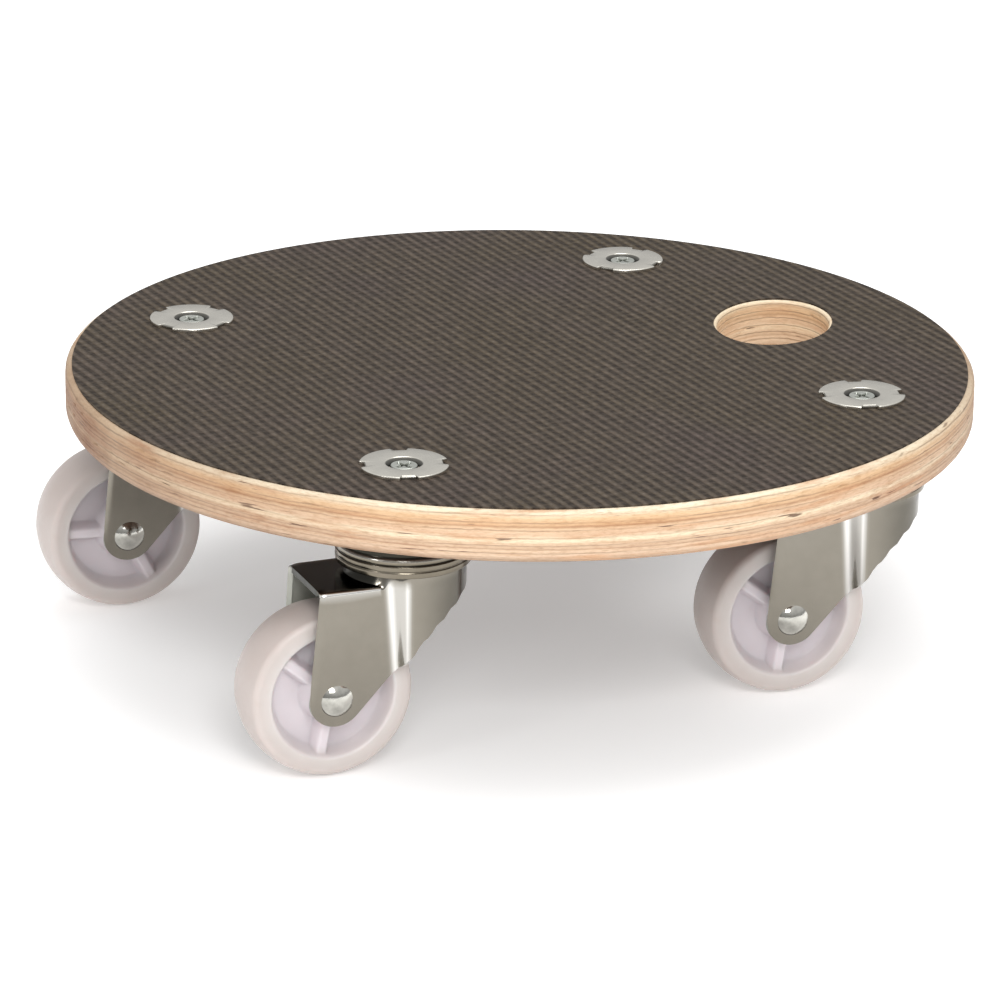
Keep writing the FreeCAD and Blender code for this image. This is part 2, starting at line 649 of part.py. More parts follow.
def main():
    """Builds every node."""
    os.makedirs("parts", exist_ok=True)
    save(plywood(), "deck_plywood")
    save(film(DECK_RADIUS - TOP_EDGE_ROUND, CORE_TOP, DECK_TOP), "deck_top_film")
    save(film(DECK_RADIUS - BOTTOM_EDGE_ROUND, DECK_UNDERSIDE, CORE_BOTTOM), "deck_underside_film")
    upper_count = balls_that_fit(UPPER_BALL_CIRCLE, UPPER_BALL_RADIUS)
    lower_count = balls_that_fit(LOWER_BALL_CIRCLE, LOWER_BALL_RADIUS)
    fixed = {
        "deck_bolt": bolt(),
        "kingpin": kingpin(),
        "swivel_cap": swivel_cap(),
        "lower_race": lower_race(),
    }
    trailing = {
        "upper_balls": ball_ring(upper_count, UPPER_BALL_CIRCLE, UPPER_BALL_RADIUS, UPPER_BALL_HEIGHT),
        "lower_balls": ball_ring(lower_count, LOWER_BALL_CIRCLE, LOWER_BALL_RADIUS, LOWER_BALL_HEIGHT),
        "fork": fork(),
        "axle_rivet": rivet(),
        "axle_sleeve": axle_sleeve(),
    }
    for name, (_, _, trail_direction) in CASTERS.items():
        save(at_caster(tee_nut(name), name, 0), "tee_nut_" + name)
        for part, shape in fixed.items():
            save(at_caster(shape.copy(), name, 0), part + "_" + name)
        for part, shape in trailing.items():
            save(at_caster(shape.copy(), name, trail_direction), part + "_" + name)
        save(at_caster(wheel(WHEEL_TURNS_DEG[name]), name, trail_direction), "wheel_" + name)


main()
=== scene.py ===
"""Looks of the plant pot caddy: detailed meshes and materials laid over the CAD frame.

Shapes are drawn in millimetres, and make() and flat_face() turn them into metres. The lights
and the camera are placed in metres. Each caster's pieces are drawn about its kingpin, trailing
along +X, and are then turned and moved to their place.
"""

import json
from math import acos, asin, atan2, cos, degrees, exp, hypot, pi, radians, sin, sqrt

import bmesh
import bpy
from mathutils import Matrix, Vector, noise


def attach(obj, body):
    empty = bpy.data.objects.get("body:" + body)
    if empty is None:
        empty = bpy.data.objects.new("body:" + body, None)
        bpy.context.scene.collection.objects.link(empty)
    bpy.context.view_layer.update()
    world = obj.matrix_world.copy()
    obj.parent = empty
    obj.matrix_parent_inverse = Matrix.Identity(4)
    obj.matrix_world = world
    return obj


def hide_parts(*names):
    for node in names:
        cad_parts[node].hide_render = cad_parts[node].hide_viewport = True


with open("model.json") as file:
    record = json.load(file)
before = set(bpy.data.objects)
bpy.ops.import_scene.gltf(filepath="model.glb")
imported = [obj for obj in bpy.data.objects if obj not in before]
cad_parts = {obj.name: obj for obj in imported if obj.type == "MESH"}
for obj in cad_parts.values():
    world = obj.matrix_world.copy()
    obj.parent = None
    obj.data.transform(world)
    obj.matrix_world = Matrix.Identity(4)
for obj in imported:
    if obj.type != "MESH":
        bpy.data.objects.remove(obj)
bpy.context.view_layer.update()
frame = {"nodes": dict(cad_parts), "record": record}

MM = 0.001

# Casters: their kingpins' places, and the way that each trails, in degrees.
CASTER_REACH = 74.7
CASTERS = {
    "front_left": (-CASTER_REACH, -CASTER_REACH, 175.3),
    "front_right": (CASTER_REACH, -CASTER_REACH, 171.9),
    "back_left": (-CASTER_REACH, CASTER_REACH, 174.4),
    "back_right": (CASTER_REACH, CASTER_REACH, 173.9),
}
WHEEL_TURNS_DEG = {"front_left": 40, "front_right": 38, "back_left": 2, "back_right": 75}
TEE_NUT_TURNS_DEG = {"front_left": 71, "front_right": 71, "back_left": 27, "back_right": 36}
TRAIL = 24.3
AXLE_HEIGHT = 25.0

# Deck. The ply tops and the glue's spacing are parts of the core's thickness.
DECK_RADIUS = 136.05
DECK_UNDERSIDE = 71.6
DECK_TOP = 88.1
CORE_TOP = 87.6
CORE_BOTTOM = 71.9
TOP_ROUND = 2.1
BOTTOM_ROUND = 4.0
HOLE_OFFSET = 87.2
HOLE_HALF_LENGTH = 23.0
HOLE_HALF_WIDTH = 17.0
HOLE_TURN = radians(50)
HOLE_ROUND = 1.0
RIM_STEPS = 900
HOLE_STEPS = 220
PLY_TOPS = (1.0, 0.86, 0.715, 0.57, 0.43, 0.285, 0.14)
GLUE_GROOVE = 0.10
GLUE_SPACING = 0.143
SAW_RELIEF = 0.10
PIT_DEPTH = 0.35
MESH_PITCH = 3.43

# The rim is painted darker, as shade, towards its two ends along X turned by this.
SHADED_SIDES_TURN = radians(10)

# Wheel. Each draft is where a slope starts and ends, measured from the size it belongs to.
WHEEL_RADIUS = 25.0
WHEEL_HALF_WIDTH = 9.0
CROWN_RADIUS = 27.0
SHOULDER = 2.0
RIM_INNER = 17.9
RIM_DRAFT = (-1.5, 0.9)
WEB = 3.5
HUB_RADIUS = 7.5
HUB_DRAFT = (-0.5, 1.3)
HUB_HALF_LENGTH = 9.4
BORE = 4.45
BORE_ROUND = 0.35
RIB_COUNT = 3
RIB_HALF_THICKNESS = 2.0
RIB_DRAFT = (-0.9, 1.0)
RIB_HEIGHT = 7.4
RIB_ROOT = 1.4
RIB_ROOT_RISE = 0.35

# Fork.
SHEET = 1.8
LEG_BEND = 1.2
CROWN_BEND = 2.5
LEG_AT_AXLE = 11.9
LEG_SPLAY = 0.056
LEG_END = 8.1
LEG_CORNER = (7.0, 32.2)
REAR_MIDDLE = (-2.6, 44.9)
REAR_TOP = (-18.0, 55.0)
RIPPLE_DEPTH = 0.4
RIPPLE_PER_MM = 1.35
RIPPLE_START = (-17, -13)
RIPPLE_STOP = (4, 7)
BULB = 18.0
NECK_FRONT = 6.0
NECK_LEAN = 0.096
NECK_BACK = 5.4
CREASE = 2.2
SHELF_TOP = 58.2
SHELF_FRONT = 30.0
SHELF_HOLLOW = 0.1
CROWN_TOP = 63.0
CROWN_WALL = (15.9, 17.7)
KINGPIN_HOLE = 6.2
EDGE_WIDTH = 1.8
EDGE_DEPTH = 0.7
FORK_ROWS = 16
LEG_COLUMNS = 36
SHELF_SPOKES = 18

# A spoke of the fork's top has two stretches, each with its points closest together where it ends.
# The first ends at this reach, or this far inside the spoke's end if that comes sooner.
SPOKE_BREAK = 18.0
SPOKE_MARGIN = 1.4

# The fork's wall leans, so its ends are found by trying again this many times.
ROUNDS = 12

# Swivel cap.
CAP_RADIUS = 19.5
CAP_BOTTOM = 61.3
CAP_SHEET = 1.6
CAP_HOLE = 5.4
CAP_HUB_RADIUS = 9.0
CAP_HUB_TOP = 70.0
CAP_RACE_INNER = 9.8
CAP_RACE_OUTER = 14.6
CAP_RACE_TOP = 68.2
CAP_RACE_SHEET = 1.8
CAP_ROOF_INNER = 15.8
CAP_SLANT = 0.8
CAP_STEP = 66.5
CAP_STEP_IN = 0.7
CAP_CHAMFER = 0.9
CAP_GROOVES = ((65.1, 0.45), (63.2, 0.25))
GROOVE_HALF_WIDTH = 0.35

# Rivet.
RIVET_SEAT = 11.62
RIVET_HEAD = 5.0
RIVET_RISE = 2.1
RIVET_SHANK = 3.0

# Tee nut. A prong's levels are its half width and how far it is above the deck's top.
FLANGE_RADIUS = 12.8
FLANGE_TOP = 89.18
FLANGE_EDGE = 0.35
FLANGE_FLAT = 8.0
BARREL_RADIUS = 5.2
BARREL_BOTTOM = 78.2
BARREL_BORE = 4.0
MOUTH_RADIUS = 5.4
MOUTH_DEPTH = 1.8
NOTCH_BASE = (11.2, 2.0)
NOTCH_BASE_EDGE = 0.6
NOTCH_MOUTH = 2.7
NOTCH_COUNT = 4
PRONG_INNER = 10.1
PRONG_OUTER = 11.15
PRONG_LEVELS = ((1.8, 0.3), (1.8, -0.4), (0.4, -7.0))

# Bolt.
BOLT_RADIUS = 3.95
BOLT_END = 88.6
BOLT_CHAMFER = 0.3
BOLT_FOOT = 51.3
BOLT_HEAD = 5.3
BOLT_HEAD_CHAMFER = 0.8
BOLT_CORNER = 7.5
CROSS_REACH = 2.9
CROSS_HALF_WIDTH = 0.6
CROSS_DEPTH = 0.9
CROSS_TURN = radians(18)

# Camera: it looks at a point near the deck's middle. Its angles are in degrees.
CAMERA_AZIMUTH = -27.056
CAMERA_ELEVATION = 19.585
CAMERA_ROLL = 0.805
CAMERA_TARGET = (-0.01135, -0.01031, 0.04777)
CAMERA_DISTANCE = 1.539
CAMERA_LENS = 184.73


# --- shapes ---


def smooth_step(low, high, value):
    """0 below low, 1 above high and an S-curve between them."""
    part = min(1.0, max(0.0, (value - low) / (high - low)))
    return part * part * (3 - 2 * part)


def sloped(value, middle, draft):
    """0 before a slope, 1 past it and an S-curve along it, for a slope about a middle value."""
    return smooth_step(middle + draft[0], middle + draft[1], value)


def hump(value, middle, width):
    """1 at the middle value, falling to nothing on both sides."""
    return exp(-(((value - middle) / width) ** 2))


def mix(a, b, part):
    """The value that lies that part of the way from a to b."""
    return a + (b - a) * part


def arc(centre, radius, start_deg, end_deg, steps):
    """Points round part of a circle, from its start to its end."""
    points = []
    for step in range(steps + 1):
        angle = radians(mix(start_deg, end_deg, step / steps))
        points.append((centre[0] + radius * cos(angle), centre[1] + radius * sin(angle)))
    return points


def angles(count):
    """That many angles, evenly round a circle."""
    return [2 * pi * step / count for step in range(count)]


def swung(profile, angle):
    """(radius, height) points swung about the Z axis to an angle."""
    return [(radius * cos(angle), radius * sin(angle), height) for radius, height in profile]


def turned_point(x, y, angle):
    """A plan point turned about the axis."""
    return (x * cos(angle) - y * sin(angle), x * sin(angle) + y * cos(angle))


def linked(name, mesh):
    """A smoothly shaded object for a mesh, in the scene."""
    mesh.shade_smooth()
    thing = bpy.data.objects.new(name, mesh)
    bpy.context.scene.collection.objects.link(thing)
    return thing


def clean(mesh, reach):
    """Merges a mesh's points that lie within reach of each other and turns its faces outwards."""
    work = bmesh.new()
    work.from_mesh(mesh)
    bmesh.ops.remove_doubles(work, verts=work.verts, dist=reach * MM)
    bmesh.ops.recalc_face_normals(work, faces=work.faces)
    work.to_mesh(mesh)
    work.free()


def make(name, rows, closed_rows=False, closed_columns=False):
    """A smooth mesh of quads from rows of points in millimetres."""
    width = len(rows[0])
    points = [Vector(point) * MM for row in rows for point in row]
    faces = []
    for index in range(len(rows) if closed_rows else len(rows) - 1):
        near, far = index * width, (index + 1) % len(rows) * width
        for column in range(width if closed_columns else width - 1):
            beside = (column + 1) % width
            faces.append((near + column, near + beside, far + beside, far + column))
    mesh = bpy.data.meshes.new(name)
    mesh.from_pydata(points, [], faces)
    clean(mesh, 0.002)
    return linked(name, mesh)


def joined(name, things):
    """One object made of several, which are used up."""
    work = bmesh.new()
    for thing in things:
        work.from_mesh(thing.data)
        bpy.data.objects.remove(thing)
    mesh = bpy.data.meshes.new(name)
    work.to_mesh(mesh)
    work.free()
    return linked(name, mesh)


def softened(points, radius, steps=3, closed=True):
    """An outline with each corner turned into a small curve."""
    result = []
    count = len(points)
    for index, point in enumerate(points):
        if not closed and index in (0, count - 1):
            result.append(point)
            continue
        corner = Vector(point)
        before = Vector(points[index - 1]) - corner
        after = Vector(points[(index + 1) % count]) - corner
        cut = min(radius, 0.45 * before.length, 0.45 * after.length)
        start = corner + before.normalized() * cut
        end = corner + after.normalized() * cut
        result += curve(start, corner, end, steps + 1)
    return result


def curve(start, corner, end, count):
    """Points along the bend that rounds a corner."""
    points = []
    for step in range(count):
        t = step / (count - 1)
        sides = zip(start, corner, end)
        points.append(tuple(a * (1 - t) ** 2 + b * 2 * t * (1 - t) + c * t**2 for a, b, c in sides))
    return points


def lathe(name, profile, steps, closed=True):
    """A turned shape from a (radius, height) outline."""
    rows = [swung(profile, angle) for angle in angles(steps)]
    return make(name, rows, closed_rows=True, closed_columns=closed)


def soften_edges(thing, width, angle_deg):
    """Rounds the sharp edges of an object a little."""
    bevel = thing.modifiers.new("rounded_edges", "BEVEL")
    bevel.width = width * MM
    bevel.segments = 2
    bevel.limit_method = "ANGLE"
    bevel.angle_limit = radians(angle_deg)
    bevel.harden_normals = True


def mark(thing, name, rule):
    """Stores a number from 0 to 1 at every point of a mesh, worked out from its place."""
    marks = thing.data.attributes.new(name, "FLOAT", "POINT")
    for point, here in zip(thing.data.vertices, marks.data):
        here.value = rule(*(point.co / MM))


def add_piece(thing, body, nodes, slot, place=None, looks=()):
    """Puts a piece in its place and on its body, in its slot's material or in the looks given."""
    if place is not None:
        thing.matrix_world = place
    bpy.context.view_layer.update()
    for look in looks or [slot]:
        thing.data.materials.append(materials[look])
    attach(thing, body)
    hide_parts(*nodes)


# --- deck ---


def wood_relief(along, height, seed):
    """How far the sawn edge lies below its face at a place along it and a height."""
    fraction = (height - CORE_BOTTOM) / (CORE_TOP - CORE_BOTTOM)
    level = fraction + 0.02 * noise.noise(Vector((along / 14, seed, 0)))
    depth = sum(GLUE_GROOVE * hump(level, top, 0.012) for top in PLY_TOPS[1:])
    ply = sum(1 for top in PLY_TOPS if level < top)
    depth += SAW_RELIEF * (0.5 + 0.5 * noise.noise(Vector((along / 1.3, ply * 7.3, seed))))
    pit = noise.noise(Vector((along / 5, ply * 3.1 + seed, height / 1.2)))
    return depth + PIT_DEPTH * smooth_step(0.45, 0.62, pit)


def eased(level, count):
    """0 at both ends of a profile and 1 from its fifth point on, so that relief fades out there."""
    return min(1.0, level / 4, (count - 1 - level) / 4)


def closing(angle):
    """1 all round but for a short stretch, where it falls so that the relief closes on itself."""
    return 1 - smooth_step(2 * pi - 0.05, 2 * pi, angle)


def rim_profile():
    """(radius, height) points up the deck's outer edge."""
    low, high = CORE_BOTTOM + BOTTOM_ROUND, CORE_TOP - TOP_ROUND
    points = arc((DECK_RADIUS - BOTTOM_ROUND, low), BOTTOM_ROUND, -90, 0, 8)
    points += [(DECK_RADIUS, mix(low, high, step / 40)) for step in range(1, 40)]
    return points + arc((DECK_RADIUS - TOP_ROUND, high), TOP_ROUND, 0, 90, 7)


def rim_rows():
    """Rows of points up the sawn rim, all the way round."""
    profile = rim_profile()
    rows = []
    for angle in angles(RIM_STEPS):
        row = []
        for level, (radius, height) in enumerate(profile):
            relief = wood_relief(radius * angle * closing(angle), height, 0.0)
            row.append((radius - eased(level, len(profile)) * relief, height))
        rows.append(swung(row, angle))
    return rows


def hole_point(angle, grow):
    """A point on the finger hole's oval."""
    along = (HOLE_HALF_LENGTH + grow) * cos(angle)
    across = (HOLE_HALF_WIDTH + grow) * sin(angle)
    x, y = turned_point(along, across, HOLE_TURN)
    return (HOLE_OFFSET + x, y)


def hole_profile():
    """(growth, height) points up the finger hole's wall, with eased rims."""
    low, high = CORE_BOTTOM + HOLE_ROUND, CORE_TOP - HOLE_ROUND
    points = arc((HOLE_ROUND, low), HOLE_ROUND, -90, -180, 5)
    points += [(0.0, mix(low, high, step / 36)) for step in range(1, 36)]
    return points + arc((HOLE_ROUND, high), HOLE_ROUND, 180, 90, 5)


def hole_rows():
    """Rows of points up the finger hole's sawn wall, all the way round."""
    profile = hole_profile()
    rows = []
    for angle in angles(HOLE_STEPS):
        row = []
        for level, (grow, height) in enumerate(profile):
            relief = wood_relief(HOLE_HALF_LENGTH * angle * closing(angle), height, 5.0)
            depth = eased(level, len(profile)) * relief
            row.append((*hole_point(angle, grow + depth), height))
        rows.append(row)
    return rows


def flat_face(name, outer, inner, height):
    """The flat wood between the rim and the finger hole."""
    work = bmesh.new()
    for loop in (outer, inner):
        corners = [work.verts.new(Vector((x, y, height)) * MM) for x, y in loop]
        for index, corner in enumerate(corners):
            work.edges.new((corner, corners[(index + 1) % len(corners)]))
    bmesh.ops.triangle_fill(work, edges=work.edges, use_beauty=True)
    mesh = bpy.data.meshes.new(name)
    work.to_mesh(mesh)
    work.free()
    clean(mesh, 0.002)
    return linked(name, mesh)


def plywood_deck():
    """The deck's core: sawn rim and hole wall in relief, and the flat faces."""
    rim = rim_rows()
    wall = hole_rows()
    pieces = [make("rim", rim, closed_rows=True), make("wall", wall, closed_rows=True)]
    for level, height in ((0, CORE_BOTTOM), (-1, CORE_TOP)):
        outer = [row[level][:2] for row in rim]
        inner = [row[level][:2] for row in wall]
        pieces.append(flat_face("flat", outer, inner, height))
    return joined("plywood_core", pieces)


# --- wheel ---


def side_height(radius, angle):
    """How far the wheel's side stands from its middle plane."""
    hub = mix(HUB_HALF_LENGTH, WEB, sloped(radius, HUB_RADIUS, HUB_DRAFT))
    rim = mix(WEB, WHEEL_HALF_WIDTH, sloped(radius, RIM_INNER, RIM_DRAFT))
    height = max(hub, rim)
    for rib_angle in angles(RIB_COUNT):
        away = angle - rib_angle
        if cos(away) <= 0:
            continue
        beside = radius * abs(sin(away))
        rise = 1 - sloped(beside, RIB_HALF_THICKNESS, RIB_DRAFT)
        rib = mix(WEB, RIB_HEIGHT, rise)
        blend = max(0.0, RIB_ROOT - abs(rib - height)) / RIB_ROOT
        height = max(rib, height) + RIB_ROOT_RISE * blend * blend * rise
    return min(height, HUB_HALF_LENGTH)


def tread_profile():
    """(radius, height) points over the crowned tread, and the radius where its shoulders start."""
    centre = WHEEL_RADIUS - CROWN_RADIUS
    crown_end = asin((WHEEL_HALF_WIDTH - SHOULDER) / CROWN_RADIUS)
    shoulder_radius = centre + CROWN_RADIUS * cos(crown_end) - SHOULDER
    shoulder = arc((shoulder_radius, WHEEL_HALF_WIDTH - SHOULDER), SHOULDER, 90, 0, 6)[1:]
    end_deg = degrees(crown_end)
    crown = arc((centre, 0.0), CROWN_RADIUS, end_deg, -end_deg, 12)[1:-1]
    far_shoulder = [(radius, -height) for radius, height in reversed(shoulder)]
    return shoulder + crown + far_shoulder, shoulder_radius


def wheel_shape(name, turn_deg):
    """The nylon wheel about the Z axis: dished ribbed sides and a crowned tread."""
    tread, shoulder_radius = tread_profile()
    reaches = arc((BORE + BORE_ROUND, -BORE_ROUND), BORE_ROUND, 180, 90, 3)[:-1]
    reaches += [(mix(BORE + 0.5, shoulder_radius, step / 40), 0.0) for step in range(41)]
    turn = radians(turn_deg)
    rows = []
    for angle in angles(240):
        side = [(radius, side_height(radius, angle - turn) + fall) for radius, fall in reaches]
        far_side = [(radius, -height) for radius, height in reversed(side)]
        rows.append(swung(side + tread + far_side, angle))
    return make(name, rows, closed_rows=True, closed_columns=True)


# --- fork ---


def leg_half_width(level):
    """How far the leg's outer face is from the fork's middle at a level."""
    return LEG_AT_AXLE + LEG_SPLAY * (level - AXLE_HEIGHT)


def crease_along(level):
    """Where along the fork the leg's flat side ends in its hollow crease."""
    return NECK_FRONT + NECK_LEAN * (level - AXLE_HEIGHT)


def neck_and_bulb(level):
    """The fork's half plan behind its leg: hollow crease, neck, round crease and bulb."""
    half = leg_half_width(level)
    front = (crease_along(level), half)
    crease_angle = acos(NECK_BACK / BULB)
    back = (NECK_BACK, BULB * sin(crease_angle))
    cut = CREASE / hypot(back[0] - front[0], back[1] - front[1])
    neck_front = (mix(front[0], back[0], cut), mix(front[1], back[1], cut))
    neck_back = (mix(back[0], front[0], cut), mix(back[1], front[1], cut))
    bulb = arc((0.0, 0.0), BULB, degrees(crease_angle + CREASE / BULB), 180, 24)
    hollow = curve((front[0] + CREASE, half), front, neck_front, 7)
    return hollow + curve(neck_back, back, bulb[0], 7) + bulb[1:]


def circle_through(a, b, c):
    """The centre and radius of the circle through three points."""
    d = 2 * (a[0] * (b[1] - c[1]) + b[0] * (c[1] - a[1]) + c[0] * (a[1] - b[1]))
    squares = [point[0] ** 2 + point[1] ** 2 for point in (a, b, c)]
    x = (squares[0] * (b[1] - c[1]) + squares[1] * (c[1] - a[1]) + squares[2] * (a[1] - b[1])) / d
    y = (squares[0] * (c[0] - b[0]) + squares[1] * (a[0] - c[0]) + squares[2] * (b[0] - a[0])) / d
    return (x, y), hypot(a[0] - x, a[1] - y)


def touch_angle(point, side):
    """The angle on the leg's round end where a line from a point touches it."""
    away = (point[0] - TRAIL, point[1] - AXLE_HEIGHT)
    return atan2(away[1], away[0]) + side * acos(LEG_END / hypot(*away))


def end_point(angle):
    """A point on the leg's round end."""
    return (TRAIL + LEG_END * cos(angle), AXLE_HEIGHT + LEG_END * sin(angle))


def rear_edge(along):
    """The height of the fork's rear cut edge, with the press's slight ripple."""
    if along > LEG_CORNER[0]:
        touch = end_point(touch_angle(LEG_CORNER, 1))
        part = (along - LEG_CORNER[0]) / (touch[0] - LEG_CORNER[0])
        return mix(LEG_CORNER[1], touch[1], part)
    (x, y), radius = circle_through(LEG_CORNER, REAR_MIDDLE, REAR_TOP)
    strength = smooth_step(*RIPPLE_START, along) * (1 - smooth_step(*RIPPLE_STOP, along))
    ripple = RIPPLE_DEPTH * sin(along * RIPPLE_PER_MM) * strength
    return y + sqrt(radius**2 - (along - x) ** 2) + ripple


def crown_height(radius, drop):
    """The height of the pressed top: the round crown, falling to the shelf where drop is 1."""
    return CROWN_TOP - (CROWN_TOP - SHELF_TOP) * drop * smooth_step(*CROWN_WALL, radius)


def bend_radius(drop):
    """The bend's radius: tight along the legs and round on the crown."""
    return mix(CROWN_BEND, LEG_BEND, drop)


def bend_drop(inside, radius):
    """How far the sheet has turned down at a distance inside the plan outline."""
    if inside >= radius:
        return 0.0
    return radius - sqrt(radius**2 - (radius - max(inside, 0.0)) ** 2)


def top_level(along, across, drop):
    """The height where the bend ends and the wall begins."""
    return crown_height(hypot(along, across), drop) - bend_radius(drop)


def bottom_route(start, count):
    """Points along the leg's lower edge, from the neck round its end to the front."""
    back_angle = touch_angle(LEG_CORNER, 1)
    front_angle = touch_angle((SHELF_FRONT, SHELF_TOP - LEG_BEND), -1)
    sweep = (front_angle - back_angle) % (2 * pi)
    touch = end_point(back_angle)
    straight = hypot(touch[0] - start[0], touch[1] - start[1])
    total = straight + sweep * LEG_END
    points = []
    for step in range(count):
        gone = total * step / (count - 1)
        if gone <= straight:
            part = gone / straight
            points.append((mix(start[0], touch[0], part), mix(start[1], touch[1], part)))
        else:
            points.append(end_point(back_angle + (gone - straight) / LEG_END))
    return points


def coined(along, level):
    """How far the leg's face rounds in towards its front edge."""
    front = mix(SHELF_FRONT, TRAIL + LEG_END, (SHELF_TOP - level) / (SHELF_TOP - AXLE_HEIGHT))
    near = max(0.0, 1 - (front - along) / EDGE_WIDTH)
    return EDGE_DEPTH * near * near * smooth_step(AXLE_HEIGHT - 4, AXLE_HEIGHT + 8, level)


def wall_ends(index, drop):
    """The levels of the wall's top and bottom at a point of the half plan."""
    top, bottom = SHELF_TOP, LEG_CORNER[1]
    for _ in range(ROUNDS):
        top = top_level(*neck_and_bulb(top)[index], drop)
        bottom = rear_edge(neck_and_bulb(bottom)[index][0])
    return top, bottom


def leg_columns():
    """(top, bottom) side-view points of the leg's columns, from its front to the neck."""
    top, bottom = wall_ends(0, 1.0)
    back = neck_and_bulb(top)[0][0]
    bottoms = bottom_route((neck_and_bulb(bottom)[0][0], bottom), LEG_COLUMNS)
    columns = [((back, top), bottoms[0])]
    for step in range(1, LEG_COLUMNS):
        along = mix(back, SHELF_FRONT, step / (LEG_COLUMNS - 1))
        height = top_level(along, leg_half_width(SHELF_TOP - LEG_BEND), 1.0)
        columns.append(((along, height), bottoms[step]))
    return list(reversed(columns))


def outward(index, level):
    """The direction away from the fork at a point of the half plan."""
    plan = neck_and_bulb(level)
    if index == len(plan) - 1:
        return (-1.0, 0.0)
    before, after = plan[index - 1], plan[index + 1]
    away = Vector((after[1] - before[1], before[0] - after[0])).normalized()
    if away.dot(Vector(plan[index])) < 0:
        away = -away
    return tuple(away)


def fork_side():
    """The wall's columns from the front edge to the middle of the bulb.

    Each is its points from the top down, its outward direction at the top, and how far the
    fork's top has dropped to the shelf there.
    """
    parts = [row / FORK_ROWS for row in range(FORK_ROWS + 1)]
    columns = []
    for top, bottom in leg_columns():
        points = []
        for part in parts:
            along, level = mix(top[0], bottom[0], part), mix(top[1], bottom[1], part)
            points.append((along, leg_half_width(level) - coined(along, level), level))
        columns.append((points, (0.0, 1.0), 1.0))
    for index in range(1, len(neck_and_bulb(SHELF_TOP))):
        drop = 1 - smooth_step(1, 12, index)
        top, bottom = wall_ends(index, drop)
        levels = [mix(top, bottom, part) for part in parts]
        points = [(*neck_and_bulb(level)[index], level) for level in levels]
        columns.append((points, outward(index, top), drop))
    return columns


def top_spokes(columns):
    """The pressed top as spokes from the kingpin's hole to each column and the front edge."""
    spokes = [spoke(points[0][:2], away, drop) for points, away, drop in columns]
    front_points = columns[0][0]
    half = front_points[0][1]
    for step in range(1, SHELF_SPOKES):
        across = mix(-half, half, step / SHELF_SPOKES)
        hollow = SHELF_HOLLOW * max(0.0, 1 - (across / (half - SHEET)) ** 2)
        spokes.append(spoke((SHELF_FRONT - hollow, across), None, 1.0))
    return spokes


def spoke(end, away, drop):
    """Points from the kingpin's hole out to a point of the top's outline."""
    length = hypot(*end)
    turn = min(SPOKE_BREAK, length - SPOKE_MARGIN)
    reaches = [mix(KINGPIN_HOLE, turn, 1 - (1 - step / 16) ** 1.6) for step in range(16)]
    reaches += [mix(turn, length, 1 - (1 - step / 14) ** 2.2) for step in range(15)]
    points = []
    for reach in reaches:
        along, across = end[0] * reach / length, end[1] * reach / length
        if away is None:
            inside = leg_half_width(SHELF_TOP - LEG_BEND) - abs(across)
        else:
            inside = (end[0] - along) * away[0] + (end[1] - across) * away[1]
        height = crown_height(reach, drop) - bend_drop(inside, bend_radius(drop))
        points.append((along, across, height))
    return points


def fork_painted_highlight(along, across, level):
    """How much highlight is painted on the fork's sheet: most at its creases and its top bend."""
    half = leg_half_width(level)
    crease = crease_along(level)
    hollow = hypot(along - crease, abs(across) - half)
    outer = hypot(along - NECK_BACK, abs(across) - sqrt(BULB**2 - NECK_BACK**2))
    between = sloped(along, NECK_BACK, (-0.6, 0.4)) * (1 - sloped(along, crease, (0.0, 0.8)))
    neck = 0.34 * between * sloped(abs(across), half, (-0.2, 0.4))
    shine = max(hump(hollow, 0.0, 1.1), 0.75 * hump(outer, 0.0, 0.9), neck)
    shine *= 1 - sloped(level, SHELF_TOP, (-1.0, 2.5))
    if along > crease + 3.0:
        shine = max(shine, sloped(abs(across), half, (-1.0, -0.5)) * hump(level, SHELF_TOP - 0.7, 0.42))
    return shine


def fork_painted_shade(along, across, level):
    """Painted shade on the fork: the shelf and crown under the deck, painted dark for the deck's shade and
    dark reflection, a thin line under the top bend, and the back of the bulb.
    """
    inside = leg_half_width(SHELF_TOP) - 1.6 - abs(across)
    on_top = sloped(level, SHELF_TOP, (-0.4, -0.1)) * smooth_step(0.0, 0.8, inside)
    under_edge = hump(level, SHELF_TOP - 1.75, 0.38) * smooth_step(12, 14, along)
    behind = (1 - smooth_step(-9, 4, along)) * (1 - smooth_step(SHELF_TOP, CROWN_TOP, level))
    return max(0.85 * on_top, 0.55 * under_edge, 0.45 * behind)


def sew(mesh):
    """Joins the fork's wall and top along their common edge, with the faces turned outwards."""
    clean(mesh, 0.01)
    crown = [face for face in mesh.polygons if face.center.z > (CROWN_TOP - 0.1) * MM]
    if sum(face.normal.z for face in crown) < 0:
        mesh.flip_normals()
    mesh.shade_smooth()


def fork_shape(name):
    """The pressed fork: its outer skin, thickened inwards. Its inside has its second material."""
    near = fork_side()
    far = []
    for points, away, drop in reversed(near[:-1]):
        mirrored = [(along, -across, level) for along, across, level in points]
        far.append((mirrored, (away[0], -away[1]), drop))
    columns = near + far
    wall = make("wall", [points for points, _, _ in columns])
    top = make("top", top_spokes(columns), closed_rows=True)
    thing = joined(name, [wall, top])
    sew(thing.data)
    # The fork's painted highlight and painted shade, stored at its points for its material.
    mark(thing, "painted_highlight", fork_painted_highlight)
    mark(thing, "painted_shade", fork_painted_shade)
    sheet = thing.modifiers.new("sheet", "SOLIDIFY")
    sheet.material_offset = 1
    sheet.material_offset_rim = 1
    sheet.thickness = SHEET * MM
    sheet.offset = -1
    sheet.use_even_offset = True
    soften_edges(thing, 0.22, 50)
    return thing


# --- small turned and stamped parts ---


